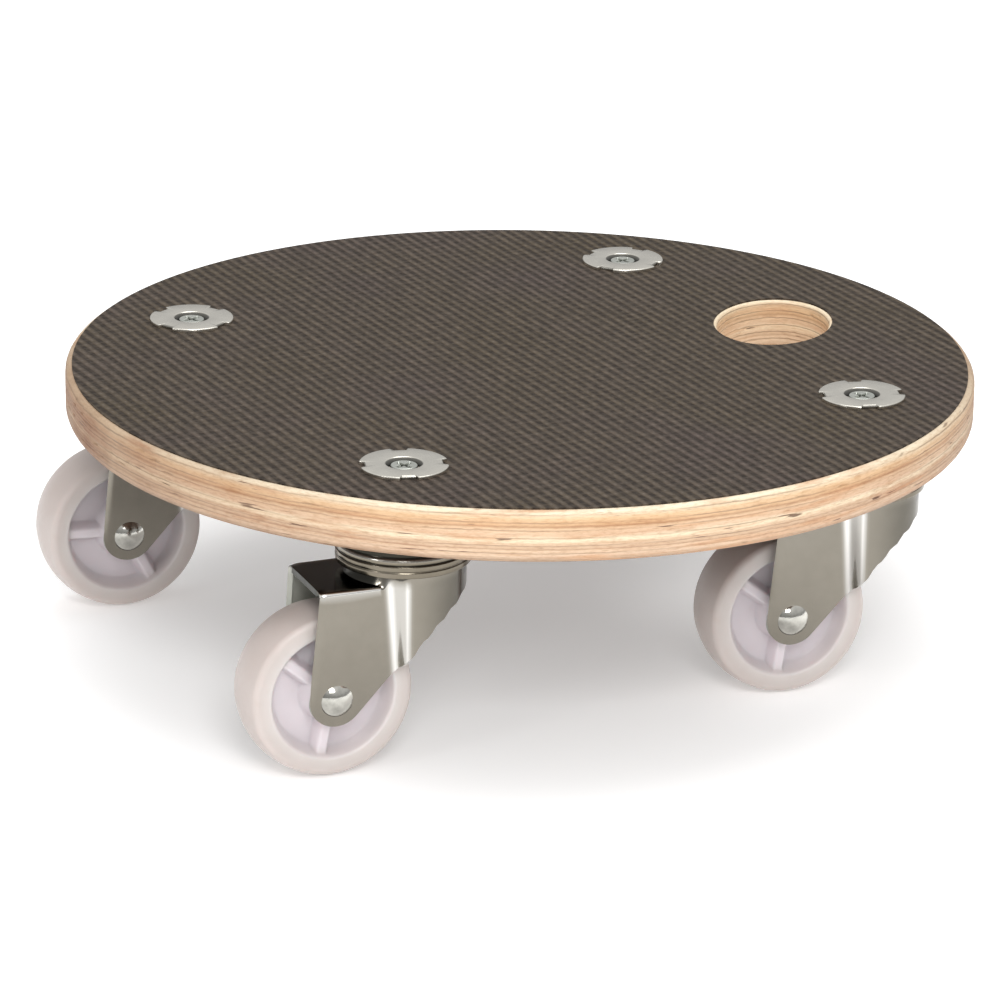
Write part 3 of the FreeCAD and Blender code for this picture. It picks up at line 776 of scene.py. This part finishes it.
def cap_outline():
    """The swivel cap's section: over its hub, ball race and roof, down its skirt, and back inside."""
    inner = CAP_RADIUS - CAP_SHEET
    outline = [
        (CAP_HOLE, CAP_HUB_TOP),
        (CAP_HUB_RADIUS, CAP_HUB_TOP),
        (CAP_RACE_INNER, CAP_RACE_TOP),
        (CAP_RACE_OUTER, CAP_RACE_TOP),
        (CAP_ROOF_INNER, DECK_UNDERSIDE),
        (CAP_RADIUS - CAP_STEP_IN - CAP_CHAMFER, DECK_UNDERSIDE),
        (CAP_RADIUS - CAP_STEP_IN, DECK_UNDERSIDE - CAP_CHAMFER),
        (CAP_RADIUS - CAP_STEP_IN, CAP_STEP + CAP_CHAMFER),
        (CAP_RADIUS, CAP_STEP),
    ]
    for height, depth in CAP_GROOVES:
        outline.append((CAP_RADIUS, height + GROOVE_HALF_WIDTH))
        outline.append((CAP_RADIUS - depth, height))
        outline.append((CAP_RADIUS, height - GROOVE_HALF_WIDTH))
    outline += [
        (CAP_RADIUS, CAP_BOTTOM),
        (inner, CAP_BOTTOM),
        (inner, DECK_UNDERSIDE - CAP_SHEET),
        (CAP_ROOF_INNER + CAP_SLANT, DECK_UNDERSIDE - CAP_SHEET),
        (CAP_RACE_OUTER + CAP_SLANT, CAP_RACE_TOP - CAP_RACE_SHEET),
        (CAP_RACE_INNER - CAP_SLANT, CAP_RACE_TOP - CAP_RACE_SHEET),
        (CAP_HUB_RADIUS - CAP_SLANT, CAP_HUB_TOP - CAP_SHEET),
        (CAP_HOLE, CAP_HUB_TOP - CAP_SHEET),
    ]
    return outline


def cap_painted_highlight(x, y, level):
    """A faint painted highlight round the cap's step."""
    return 0.35 * hump(level, CAP_STEP + 0.2, 0.35)


def cap_painted_shade(x, y, level):
    """Painted shade over the upper skirt, under the deck, and painted dark lines down in the cap's
    grooves.
    """
    sunk = CAP_RADIUS - hypot(x, y)
    on_skirt = sloped(level, CAP_BOTTOM, (0.0, 0.5)) * (1 - sloped(level, CAP_STEP, (-0.6, -0.2)))
    upper = sloped(level, CAP_STEP, (0.3, 0.8))
    return max(0.9 * smooth_step(0.05, 0.4, sunk) * on_skirt, 0.85 * upper)


def cap_shape(name):
    """The swivel cap with its rolled rim and the grooves round its skirt."""
    thing = lathe(name, softened(cap_outline(), 0.4), 144)
    mark(thing, "painted_shade", cap_painted_shade)
    mark(thing, "painted_highlight", cap_painted_highlight)
    return thing


def rivet_painted_shade(x, y, level):
    """Painted shade: the dark line round a rivet head's foot."""
    return 0.9 * sloped(hypot(x, y), RIVET_HEAD, (-0.42, -0.05))


def rivet_shape(name):
    """The axle rivet about the Z axis: a shank and two domed heads."""
    radius = (RIVET_HEAD**2 + RIVET_RISE**2) / (2 * RIVET_RISE)
    centre = RIVET_SEAT + RIVET_RISE - radius
    edge_deg = 90 - degrees(asin(RIVET_HEAD / radius))
    head = arc((0.0, centre), radius, 90, edge_deg, 12)[:-1]
    head += [(RIVET_HEAD - 0.04, RIVET_SEAT + 0.12), (RIVET_HEAD - 0.15, RIVET_SEAT)]
    head.append((RIVET_SHANK, RIVET_SEAT))
    profile = head + [(reach, -height) for reach, height in reversed(head)]
    thing = lathe(name, profile, 72, closed=False)
    mark(thing, "painted_shade", rivet_painted_shade)
    return thing


def flange_outline():
    """The tee nut's rim seen from above: four round stretches between four notches.

    Each point is its place and whether it lies at a notch's base.
    """
    mouth_deg = degrees(asin(NOTCH_MOUTH / FLANGE_RADIUS))
    base = [(NOTCH_BASE[0], mix(-NOTCH_BASE[1], NOTCH_BASE[1], step / 8)) for step in range(9)]
    side_x, side_y = mix(NOTCH_BASE[0], FLANGE_RADIUS, 0.5), mix(NOTCH_BASE[1], NOTCH_MOUTH, 0.5)
    stretch = arc((0.0, 0.0), FLANGE_RADIUS, mouth_deg, 90 - mouth_deg, 24)
    edge = [(side_x, side_y)] + stretch + [(side_y, side_x)]
    points = []
    for turn in angles(NOTCH_COUNT):
        points += [(turned_point(x, y, turn), True) for x, y in base]
        points += [(turned_point(x, y, turn), False) for x, y in edge]
    return points


def tee_nut_section(reach, edge):
    """The tee nut's section out to a point of its rim, whose top edge is rounded."""
    throat = [(BARREL_BORE, BARREL_BOTTOM), (BARREL_BORE, FLANGE_TOP - MOUTH_DEPTH)]
    lip = [(MOUTH_RADIUS, FLANGE_TOP), (FLANGE_FLAT, FLANGE_TOP)]
    section = softened(throat + lip, 0.35, 4, closed=False)
    section += arc((reach - edge, FLANGE_TOP - edge), edge, 90, 0, 5)
    return section + [(reach, DECK_TOP), (BARREL_RADIUS, DECK_TOP), (BARREL_RADIUS, BARREL_BOTTOM)]


def prong_shape(turn):
    """A prong of the tee nut, bent down beside its barrel and tapered to its tip."""
    loops = []
    for half, rise in PRONG_LEVELS:
        corners = [(PRONG_INNER, -half), (PRONG_OUTER, -half), (PRONG_OUTER, half), (PRONG_INNER, half)]
        loops.append([(*turned_point(x, y, turn), DECK_TOP + rise) for x, y in corners])
    return make("prong", loops, closed_columns=True)


def tee_nut_painted_shade(x, y, level):
    """Painted shade down the tee nut's flared mouth, and a little in its notches."""
    reach = hypot(x, y)
    in_notch = NOTCH_BASE[0] - 0.3 < reach < NOTCH_BASE[0] + 0.4 and level < FLANGE_TOP - 0.1
    return max(0.5 * in_notch, 1 - sloped(reach, MOUTH_RADIUS, (-0.35, 0.05)))


def tee_nut_shape(name):
    """The stamped tee nut: notched flange, rolled mouth, barrel, and prongs bent down."""
    rows = []
    for (x, y), at_base in flange_outline():
        reach = hypot(x, y)
        section = tee_nut_section(reach, NOTCH_BASE_EDGE if at_base else FLANGE_EDGE)
        rows.append([(radius * x / reach, radius * y / reach, height) for radius, height in section])
    pieces = [make("flange", rows, closed_rows=True, closed_columns=True)]
    pieces += [prong_shape(turn) for turn in angles(NOTCH_COUNT)]
    thing = joined(name, pieces)
    mark(thing, "painted_shade", tee_nut_painted_shade)
    soften_edges(thing, 0.08, 60)
    return thing


def cross_depth(radius, angle):
    """The depth of the cross recess in the bolt's end."""
    x = abs(radius * cos(angle - CROSS_TURN))
    y = abs(radius * sin(angle - CROSS_TURN))
    inside = 0.0
    for reach, beside in ((x, y), (y, x)):
        arm = 1 - sloped(beside, CROSS_HALF_WIDTH, (-0.2, 0.2))
        inside = max(inside, arm * (1 - sloped(reach, CROSS_REACH, (-0.4, 0.1))))
    return CROSS_DEPTH * inside


def bolt_painted_shade(x, y, level):
    """Painted shade in the bolt's cross recess and round its end."""
    if level < BOLT_END - 2 * CROSS_DEPTH:
        return 0.0
    reach = hypot(x, y)
    recess = cross_depth(reach, atan2(y, x)) / CROSS_DEPTH
    return max(recess, sloped(reach, BOLT_RADIUS, (-0.25, 0.0)))


def head_outline(angle):
    """(radius, height) points round the bolt's hexagon head at an angle, from the shank to its foot."""
    sector = (angle + pi / 6) % (pi / 3) - pi / 6
    flat = BOLT_CORNER * cos(pi / 6) / cos(pi / 6 - abs(sector))
    return [
        (BOLT_RADIUS, BOLT_FOOT + BOLT_HEAD),
        (flat, BOLT_FOOT + BOLT_HEAD),
        (flat, BOLT_FOOT + BOLT_HEAD_CHAMFER),
        (min(flat, 0.93 * BOLT_CORNER) - 0.2, BOLT_FOOT),
        (0.0, BOLT_FOOT),
    ]


def bolt_shape(name):
    """The hexagon bolt: chamfered head, shank, and an end with a cross recess."""
    radii = [0.15 * step for step in range(25)] + [BOLT_RADIUS - BOLT_CHAMFER]
    rows = []
    for angle in angles(144):
        profile = [(radius, BOLT_END - cross_depth(radius, angle)) for radius in radii]
        profile.append((BOLT_RADIUS, BOLT_END - BOLT_CHAMFER))
        rows.append(swung(profile + head_outline(angle), angle))
    thing = make(name, rows, closed_rows=True)
    mark(thing, "painted_shade", bolt_painted_shade)
    soften_edges(thing, 0.12, 50)
    return thing


# --- material tools ---


def colour(red, green, blue):
    """A screen colour (0 to 255) as scene light."""
    result = []
    for level in (red, green, blue):
        part = level / 255
        result.append(part / 12.92 if part <= 0.04045 else ((part + 0.055) / 1.055) ** 2.4)
    return (*result, 1.0)


def grey(level):
    """A grey for a ramp that drives a number."""
    return (level, level, level, 1.0)


def feed(tree, socket, value):
    """Joins a node's output to a socket, or sets the socket to a constant."""
    if isinstance(value, bpy.types.NodeSocket):
        tree.links.new(value, socket)
    else:
        socket.default_value = value


def feed_all(tree, node, **values):
    """Feeds a node's sockets by their names, with underscores for spaces."""
    for name, value in values.items():
        feed(tree, node.inputs[name.replace("_", " ")], value)


def start_material(name, **settings):
    """A material, its tree, its shader with some sockets set, and its piece's own coordinates."""
    material = bpy.data.materials.new(name)
    material.use_nodes = True
    tree = material.node_tree
    shader = tree.nodes["Principled BSDF"]
    feed_all(tree, shader, **settings)
    return material, tree, shader, tree.nodes.new("ShaderNodeTexCoord").outputs["Object"]


def stored(tree, name):
    """A number that the mesh stores at its points."""
    node = tree.nodes.new("ShaderNodeAttribute")
    node.attribute_name = name
    return node.outputs["Fac"]


def calc(tree, operation, a, b=0.0, c=0.0):
    """A sum worked out by a math node."""
    node = tree.nodes.new("ShaderNodeMath")
    node.operation = operation
    for socket, value in zip(node.inputs, (a, b, c)):
        feed(tree, socket, value)
    return node.outputs[0]


def times(tree, a, b):
    """The product of two numbers."""
    return calc(tree, "MULTIPLY", a, b)


def length_of(tree, a, b):
    """The length of the vector with these two parts."""
    return calc(tree, "SQRT", calc(tree, "ADD", times(tree, a, a), times(tree, b, b)))


def split(tree, place):
    """The x, y and z of a place."""
    node = tree.nodes.new("ShaderNodeSeparateXYZ")
    feed(tree, node.inputs[0], place)
    return node.outputs


def stretched(tree, place, scale, turn=0.0):
    """Coordinates scaled by axis and turned about Z."""
    node = tree.nodes.new("ShaderNodeMapping")
    feed_all(tree, node, Vector=place, Scale=scale, Rotation=(0, 0, turn))
    return node.outputs[0]


def cloud(tree, place, scale, detail, roughness=0.5, distortion=0.0):
    """Smooth noise from 0 to 1."""
    node = tree.nodes.new("ShaderNodeTexNoise")
    feed_all(tree, node, Vector=place, Scale=scale, Detail=detail)
    feed_all(tree, node, Roughness=roughness, Distortion=distortion)
    return node.outputs["Fac"]


def ramp(tree, factor, stops, interpolation="LINEAR"):
    """A colour looked up along a row of (position, colour) stops."""
    node = tree.nodes.new("ShaderNodeValToRGB")
    node.color_ramp.interpolation = interpolation
    elements = node.color_ramp.elements
    while len(elements) < len(stops):
        elements.new(0.5)
    for element, (position, shade) in zip(elements, stops):
        element.position = position
        element.color = shade
    feed(tree, node.inputs[0], factor)
    return node.outputs[0]


def fade(tree, factor, start, end, interpolation="LINEAR"):
    """A number that goes from one (position, level) to another."""
    stops = [(position, grey(level)) for position, level in (start, end)]
    return ramp(tree, factor, stops, interpolation)


def blend(tree, factor, a, b, mode="MIX"):
    """Two colours mixed by a factor."""
    node = tree.nodes.new("ShaderNodeMix")
    node.data_type = "RGBA"
    node.blend_type = mode
    feed(tree, node.inputs[0], factor)
    feed(tree, node.inputs[6], a)
    feed(tree, node.inputs[7], b)
    return node.outputs[2]


def rough_surface(tree, shader, height, depth_mm, strength):
    """Bumps on a surface, of that depth."""
    node = tree.nodes.new("ShaderNodeBump")
    feed_all(tree, node, Distance=depth_mm * MM, Strength=strength, Height=height)
    feed_all(tree, shader, Normal=node.outputs[0])


# --- materials ---


def ply_level(tree, place):
    """How far up the core a place is, from 0 to 1, wandering a little along the plies."""
    z = split(tree, place)[2]
    thickness = CORE_TOP - CORE_BOTTOM
    level = calc(tree, "MULTIPLY_ADD", z, 1 / (thickness * MM), -CORE_BOTTOM / thickness)
    wander = cloud(tree, stretched(tree, place, (1, 1, 0.2)), 55, 2)
    small = cloud(tree, stretched(tree, place, (1, 1, 0.3)), 320, 2)
    level = calc(tree, "ADD", level, calc(tree, "MULTIPLY_ADD", wander, 0.05, -0.025))
    return calc(tree, "ADD", level, calc(tree, "MULTIPLY_ADD", small, 0.016, -0.008))


def ply_colours_and_edge_light(tree, level):
    """The plies' colours, from the bottom up, with darker seams between some of them. The bottom round is
    painted darker as shade and the top round painted cream as a highlight.
    """
    stops = [
        # Painted shade: darker up the bottom round.
        (0.0, colour(178, 146, 120)),
        (0.13, colour(198, 168, 142)),
        (0.16, colour(216, 186, 159)),
        (0.27, colour(217, 186, 157)),
        (0.29, colour(180, 144, 116)),
        (0.32, colour(208, 176, 147)),
        (0.40, colour(214, 183, 153)),
        (0.43, colour(236, 214, 184)),
        (0.50, colour(238, 218, 188)),
        (0.55, colour(221, 188, 158)),
        (0.68, colour(218, 182, 147)),
        (0.715, colour(178, 132, 94)),
        (0.75, colour(212, 170, 129)),
        (0.86, colour(226, 190, 149)),
        # Painted highlight: cream along the top round.
        (0.97, colour(238, 224, 198)),
    ]
    return ramp(tree, level, stops)


def glue_lines(tree, level):
    """1 on seven thin lines of glue, evenly spaced up the core, and 0 elsewhere."""
    half = GLUE_SPACING / 2
    beside = calc(tree, "PINGPONG", calc(tree, "ADD", level, half), half)
    return ramp(tree, beside, [(0.0, grey(1.0)), (0.007, grey(0.9)), (0.016, grey(0.0))])


def plywood_material():
    """Birch-like plywood edge: light and tan plies, glue lines, streaks and small voids, with painted
    shade towards the rim's sides and painted light on the finger hole's wall.
    """
    material, tree, shader, place = start_material("plywood", Roughness=0.62, IOR=1.42)
    along, across, _ = split(tree, stretched(tree, place, (1, 1, 1), turn=SHADED_SIDES_TURN))
    reach = times(tree, length_of(tree, along, across), 1 / (DECK_RADIUS * MM))
    in_hole = fade(tree, reach, (0.86, 0.75), (0.94, 0.0))
    at_rim = fade(tree, reach, (0.86, 0.0), (0.94, 1.0))
    patchy = cloud(tree, place, 26, 3, 0.55)
    streaks = cloud(tree, stretched(tree, place, (60, 60, 700)), 1.6, 4, 0.6)
    fine = cloud(tree, stretched(tree, place, (220, 220, 1100)), 2.2, 3, 0.6)
    warm = cloud(tree, stretched(tree, place, (34, 34, 420)), 1.0, 3, 0.5)

    level = ply_level(tree, place)
    glue = glue_lines(tree, level)
    broken = calc(tree, "MAXIMUM", fade(tree, patchy, (0.42, 0.12), (0.62, 0.8)), in_hole)
    shade = blend(tree, times(tree, glue, broken), ply_colours_and_edge_light(tree, level), colour(112, 72, 46))
    shade = blend(tree, fade(tree, warm, (0.52, 0.0), (0.7, 0.75)), shade, colour(200, 146, 104))
    tone = ramp(tree, streaks, [(0.3, colour(206, 180, 156)), (0.5, grey(0.9)), (0.68, grey(1.0))])
    shade = blend(tree, 0.42, shade, tone, "MULTIPLY")
    tone = ramp(tree, fine, [(0.34, colour(196, 166, 134)), (0.54, grey(1.0))])
    shade = blend(tree, 0.35, shade, tone, "MULTIPLY")

    # Painted shade: the rim darkens towards the ends of the turned X axis.
    facing = times(tree, calc(tree, "ABSOLUTE", across), 1 / (DECK_RADIUS * MM))
    painted_side_shade = ramp(tree, facing, [(0.2, colour(174, 154, 142)), (0.9, grey(1.0))])
    shade = blend(tree, at_rim, shade, painted_side_shade, "MULTIPLY")
    # Painted light: the finger hole's wall is lifted towards cream.
    shade = blend(tree, times(tree, in_hole, 0.25), shade, colour(250, 222, 180))

    voids = cloud(tree, stretched(tree, place, (70, 70, 760)), 1.0, 2, 0.5)
    voids = calc(tree, "ADD", voids, times(tree, glue, 0.05))
    shade = blend(tree, fade(tree, voids, (0.69, 0.0), (0.73, 0.9)), shade, colour(84, 50, 32))
    grains = tree.nodes.new("ShaderNodeTexVoronoi")
    feed_all(tree, grains, Vector=stretched(tree, place, (110, 110, 1300)), Scale=1.0)
    pores = fade(tree, grains.outputs["Distance"], (0.05, 0.6), (0.16, 0.0))
    shade = blend(tree, pores, shade, colour(150, 108, 74))
    shade = blend(tree, fade(tree, patchy, (0.35, 0.0), (0.75, 0.3)), shade, colour(246, 226, 194))
    feed_all(tree, shader, Base_Color=shade)
    rough_surface(tree, shader, calc(tree, "ADD", fine, times(tree, glue, -0.8)), 0.12, 0.7)
    return material


def off_middle(tree, place):
    """0 halfway between two of the mesh's lines, and 0.5 on a line."""
    part = calc(tree, "FRACT", times(tree, place, 1 / (MESH_PITCH * MM)))
    return calc(tree, "ABSOLUTE", calc(tree, "SUBTRACT", part, 0.5))


def mesh_film_material():
    """Brown phenolic film pressed with a square wire-mesh pattern, strongest one way. Its sunk dashes are
    painted dark as shade and its ridges painted light as highlights.
    """
    material, tree, shader, place = start_material("mesh_film", IOR=1.38, Specular_IOR_Level=0.25)
    x, y, _ = split(tree, place)
    shaken = calc(tree, "MULTIPLY_ADD", cloud(tree, place, 90, 2), 0.6 * MM, x)
    in_row = off_middle(tree, shaken)
    in_cell = off_middle(tree, y)
    uneven = cloud(tree, place, 420, 2, 0.6)
    dash = fade(tree, in_cell, (0.2, 1.0), (0.46, 0.7), "EASE")
    valley = fade(tree, in_row, (0.13, 1.0), (0.34, 0.0), "EASE")
    pressed = times(tree, times(tree, dash, valley), calc(tree, "MULTIPLY_ADD", uneven, 1.6, 0.1))
    ridge = fade(tree, in_row, (0.30, 0.0), (0.48, 1.0), "EASE")
    lit_ridges = times(tree, ridge, fade(tree, in_cell, (0.15, 0.15), (0.45, 1.0)))

    browns = [(0.3, colour(88, 77, 61)), (0.5, colour(90, 79, 67)), (0.7, colour(88, 76, 70))]
    base = ramp(tree, cloud(tree, place, 18, 3, 0.6), browns)
    # Painted highlight: the ridges are coloured lighter.
    base = blend(tree, times(tree, lit_ridges, 0.55), base, colour(113, 103, 94))
    speckle = fade(tree, cloud(tree, place, 380, 3, 0.6), (0.35, 0.6), (0.7, 1.0))
    base = blend(tree, 1.0, base, speckle, "MULTIPLY")
    # Painted shade: the sunk dashes are coloured dark.
    shade = blend(tree, pressed, base, colour(46, 39, 33))
    feed_all(tree, shader, Base_Color=shade, Roughness=fade(tree, uneven, (0.3, 0.55), (0.7, 0.72)))
    height = calc(tree, "SUBTRACT", times(tree, lit_ridges, 0.5), pressed)
    rough_surface(tree, shader, height, 0.3, 0.8)
    return material


def smooth_film_material():
    """The plain dark film under the deck."""
    material, tree, shader, place = start_material("smooth_film", IOR=1.5)
    broad = cloud(tree, stretched(tree, place, (1, 0.25, 1)), 30, 4, 0.6)
    fine = cloud(tree, place, 700, 2)
    browns = [(0.3, colour(66, 46, 34)), (0.55, colour(84, 60, 44)), (0.75, colour(74, 54, 44))]
    gloss = fade(tree, fine, (0.3, 0.34), (0.7, 0.5))
    feed_all(tree, shader, Base_Color=ramp(tree, broad, browns), Roughness=gloss)
    rough_surface(tree, shader, broad, 0.1, 0.5)
    return material


def metal_material(name, dark, light, gloss, grain=(1, 1, 1), depth=0.01, metallic=1.0):
    """Plated or bright steel: faintly mottled, with a painted highlight at pressed bends and painted shade
    in its grooves and hollows.

    The gloss is its lowest and highest roughness.
    """
    material, tree, shader, place = start_material(name, Metallic=metallic)
    mottle = cloud(tree, place, 260, 4, 0.6)
    broad = cloud(tree, place, 38, 3, 0.5)
    lines = cloud(tree, stretched(tree, place, grain), 900, 3, 0.65)
    tone = calc(tree, "MULTIPLY_ADD", mottle, 0.3, times(tree, broad, 0.7))
    shade = ramp(tree, tone, [(0.3, colour(*dark)), (0.7, colour(*light))])
    # Painted highlight: near white where the mesh's stored highlight mark is high.
    shade = blend(tree, stored(tree, "painted_highlight"), shade, colour(252, 251, 248))
    # Painted shade: near black where the mesh's stored shade mark is high.
    shade = blend(tree, stored(tree, "painted_shade"), shade, colour(26, 28, 26))
    feed_all(tree, shader, Base_Color=shade)
    polish = calc(tree, "MULTIPLY_ADD", lines, 0.5, times(tree, mottle, 0.5))
    feed_all(tree, shader, Roughness=fade(tree, polish, (0.35, gloss[0]), (0.65, gloss[1])))
    rough_surface(tree, shader, calc(tree, "ADD", lines, mottle), depth, 0.35)
    return material


def nylon_material():
    """Natural nylon, slightly translucent, with faint flow marks and a little dirt. Its recess is painted
    lighter, as light, and its tread darker, as shade.
    """
    material, tree, shader, place = start_material("nylon", IOR=1.53, Subsurface_Weight=0.7)
    feed_all(tree, shader, Subsurface_Scale=1.0, Subsurface_Radius=(0.0055, 0.0046, 0.0046))
    x, y, _ = split(tree, place)
    reach = length_of(tree, x, y)
    cloudy = cloud(tree, place, 60, 3, 0.55)
    fine = cloud(tree, place, 500, 3, 0.6)
    rim = ramp(tree, cloudy, [(0.3, colour(202, 195, 191)), (0.7, colour(209, 203, 199))])
    # Painted light: the recess is coloured lighter than the rim.
    recess = ramp(tree, cloudy, [(0.3, colour(211, 203, 207)), (0.7, colour(219, 211, 215))])
    shade = blend(tree, fade(tree, reach, (16.5 * MM, 0.0), (19 * MM, 1.0)), recess, rim)
    # Painted shade: the tread is coloured darker.
    tread = fade(tree, reach, (22.5 * MM, 0.0), (24.5 * MM, 1.0))
    shade = blend(tree, tread, shade, colour(182, 168, 162))
    dirt = fade(tree, cloud(tree, place, 140, 4, 0.65, 0.6), (0.62, 0.0), (0.8, 0.3))
    shade = blend(tree, dirt, shade, colour(190, 176, 164))
    feed_all(tree, shader, Base_Color=shade, Roughness=fade(tree, fine, (0.3, 0.34), (0.7, 0.5)))
    rough_surface(tree, shader, calc(tree, "ADD", fine, cloudy), 0.03, 0.5)
    return material


def floor_material():
    """Plain pale paper."""
    material, tree, shader, place = start_material("floor", Roughness=0.9, Emission_Strength=0.3)
    shade = fade(tree, cloud(tree, place, 3, 2), (0.3, 0.90), (0.7, 0.92))
    feed_all(tree, shader, Base_Color=shade, Emission_Color=shade)
    return material


def all_materials():
    """Every material by its name."""
    made = {
        "plywood": plywood_material(),
        "mesh_film": mesh_film_material(),
        "smooth_film": smooth_film_material(),
        "nylon": nylon_material(),
    }
    metals = {
        "zinc_plate": ((206, 202, 192), (230, 226, 216), (0.18, 0.28)),
        # The cap: a darker copy of the zinc plate, painted shade for its place under the deck.
        "shaded_cap_zinc": ((112, 105, 92), (134, 127, 114), (0.16, 0.24)),
        "fork_zinc": ((130, 125, 115), (143, 138, 128), (0.12, 0.2), (1, 1, 0.12), 0.008),
        # The fork's inner faces: a lighter, less metallic copy of the zinc, painted light that lifts their
        # shade.
        "lightened_fork_inside": ((158, 160, 150), (180, 180, 172), (0.42, 0.55), (1, 1, 1), 0.01, 0.45),
        "bolt_steel": ((176, 182, 174), (212, 214, 206), (0.2, 0.3)),
        "rivet_steel": ((70, 70, 62), (232, 230, 222), (0.08, 0.14), (1, 1, 1), 0.1),
        "ball_steel": ((150, 150, 150), (200, 200, 200), (0.08, 0.16)),
    }
    for name, look in metals.items():
        made[name] = metal_material(name, *look)
    return made


# --- the object ---


def paint_frame():
    """Gives every CAD node the material of its slot."""
    slots = {part["node"]: part["material_slot"] for part in frame["record"]["subparts"]}
    for node, thing in frame["nodes"].items():
        thing.data.materials.clear()
        thing.data.materials.append(materials[slots[node]])


def build_caster(name):
    """The detailed pieces of one caster, those of its swivel turned to trail."""
    x, y, direction = CASTERS[name]
    still = Matrix.Translation(Vector((x, y, 0)) * MM)
    trailing = still @ Matrix.Rotation(radians(direction), 4, "Z")
    axle = Matrix.Translation(Vector((TRAIL, 0, AXLE_HEIGHT)) * MM)
    on_axle = trailing @ axle @ Matrix.Rotation(pi / 2, 4, "X")
    turned = still @ Matrix.Rotation(radians(TEE_NUT_TURNS_DEG[name]), 4, "Z")
    fork, wheel = "fork_" + name, "wheel_" + name
    # The fork's inner faces take the lightened copy, painted light.
    looks = ["fork_zinc", "lightened_fork_inside"]
    add_piece(fork_shape("pressed_fork_" + name), fork, [fork], "fork_zinc", trailing, looks)
    add_piece(wheel_shape("nylon_wheel_" + name, WHEEL_TURNS_DEG[name]), wheel, [wheel], "nylon", on_axle)
    add_piece(rivet_shape("domed_rivet_" + name), fork, ["axle_rivet_" + name], "rivet_steel", on_axle)
    # The cap takes the darker copy of the zinc, painted shade.
    looks = ["shaded_cap_zinc"]
    add_piece(cap_shape("grooved_cap_" + name), "deck", ["swivel_cap_" + name], "zinc_plate", still, looks)
    add_piece(bolt_shape("hexagon_bolt_" + name), "deck", ["deck_bolt_" + name], "bolt_steel", still)
    add_piece(tee_nut_shape("stamped_tee_nut_" + name), "deck", ["tee_nut_" + name], "zinc_plate", turned)


# --- the studio ---


def build_sky():
    """Soft light from all round, brighter from above."""
    world = bpy.data.worlds.new("studio")
    bpy.context.scene.world = world
    world.use_nodes = True
    tree = world.node_tree
    background = tree.nodes["Background"]
    height = split(tree, tree.nodes.new("ShaderNodeTexCoord").outputs["Generated"])[2]
    glow = ramp(tree, height, [(0.0, grey(0.4)), (0.14, grey(0.46)), (0.32, grey(0.68)), (0.7, grey(0.9))])
    feed_all(tree, background, Color=glow, Strength=0.9)


def area_light(name, place, power, size):
    """A square soft light that faces the object."""
    light = bpy.data.objects.new(name, bpy.data.lights.new(name, "AREA"))
    bpy.context.scene.collection.objects.link(light)
    light.data.energy = power
    light.data.size = size
    light.location = place
    light.rotation_euler = Vector(place).to_track_quat("Z", "Y").to_euler()


def build_camera():
    """The camera, looking down at the deck."""
    azimuth, elevation = radians(CAMERA_AZIMUTH), radians(CAMERA_ELEVATION)
    back_x = sin(azimuth) * cos(elevation)
    back_y = -cos(azimuth) * cos(elevation)
    back = Vector((back_x, back_y, sin(elevation)))
    roll = Matrix.Rotation(radians(CAMERA_ROLL), 3, "Z")
    camera = bpy.data.objects.new("camera", bpy.data.cameras.new("camera"))
    bpy.context.scene.collection.objects.link(camera)
    camera.data.lens = CAMERA_LENS
    camera.data.sensor_width = 36
    camera.data.clip_end = 100
    camera.location = Vector(CAMERA_TARGET) + back * CAMERA_DISTANCE
    camera.rotation_euler = (back.to_track_quat("Z", "Y").to_matrix() @ roll).to_euler()
    bpy.context.scene.camera = camera


def build_studio():
    """The plain pale floor, the lights and the camera."""
    bpy.ops.mesh.primitive_plane_add(size=20)
    floor = bpy.context.object
    floor.name = "floor"
    floor.data.materials.append(floor_material())
    build_sky()
    area_light("key", (-0.5, -1.25, 0.95), 10, 0.5)
    area_light("side", (-1.5, -0.5, 0.6), 2, 0.25)
    area_light("overhead", (0.3, 0.1, 2.2), 20, 1.6)
    build_camera()
    bpy.context.scene.view_settings.view_transform = "Standard"


materials = all_materials()
paint_frame()
add_piece(plywood_deck(), "deck", ["deck_plywood"], "plywood")
for caster in CASTERS:
    build_caster(caster)
build_studio()
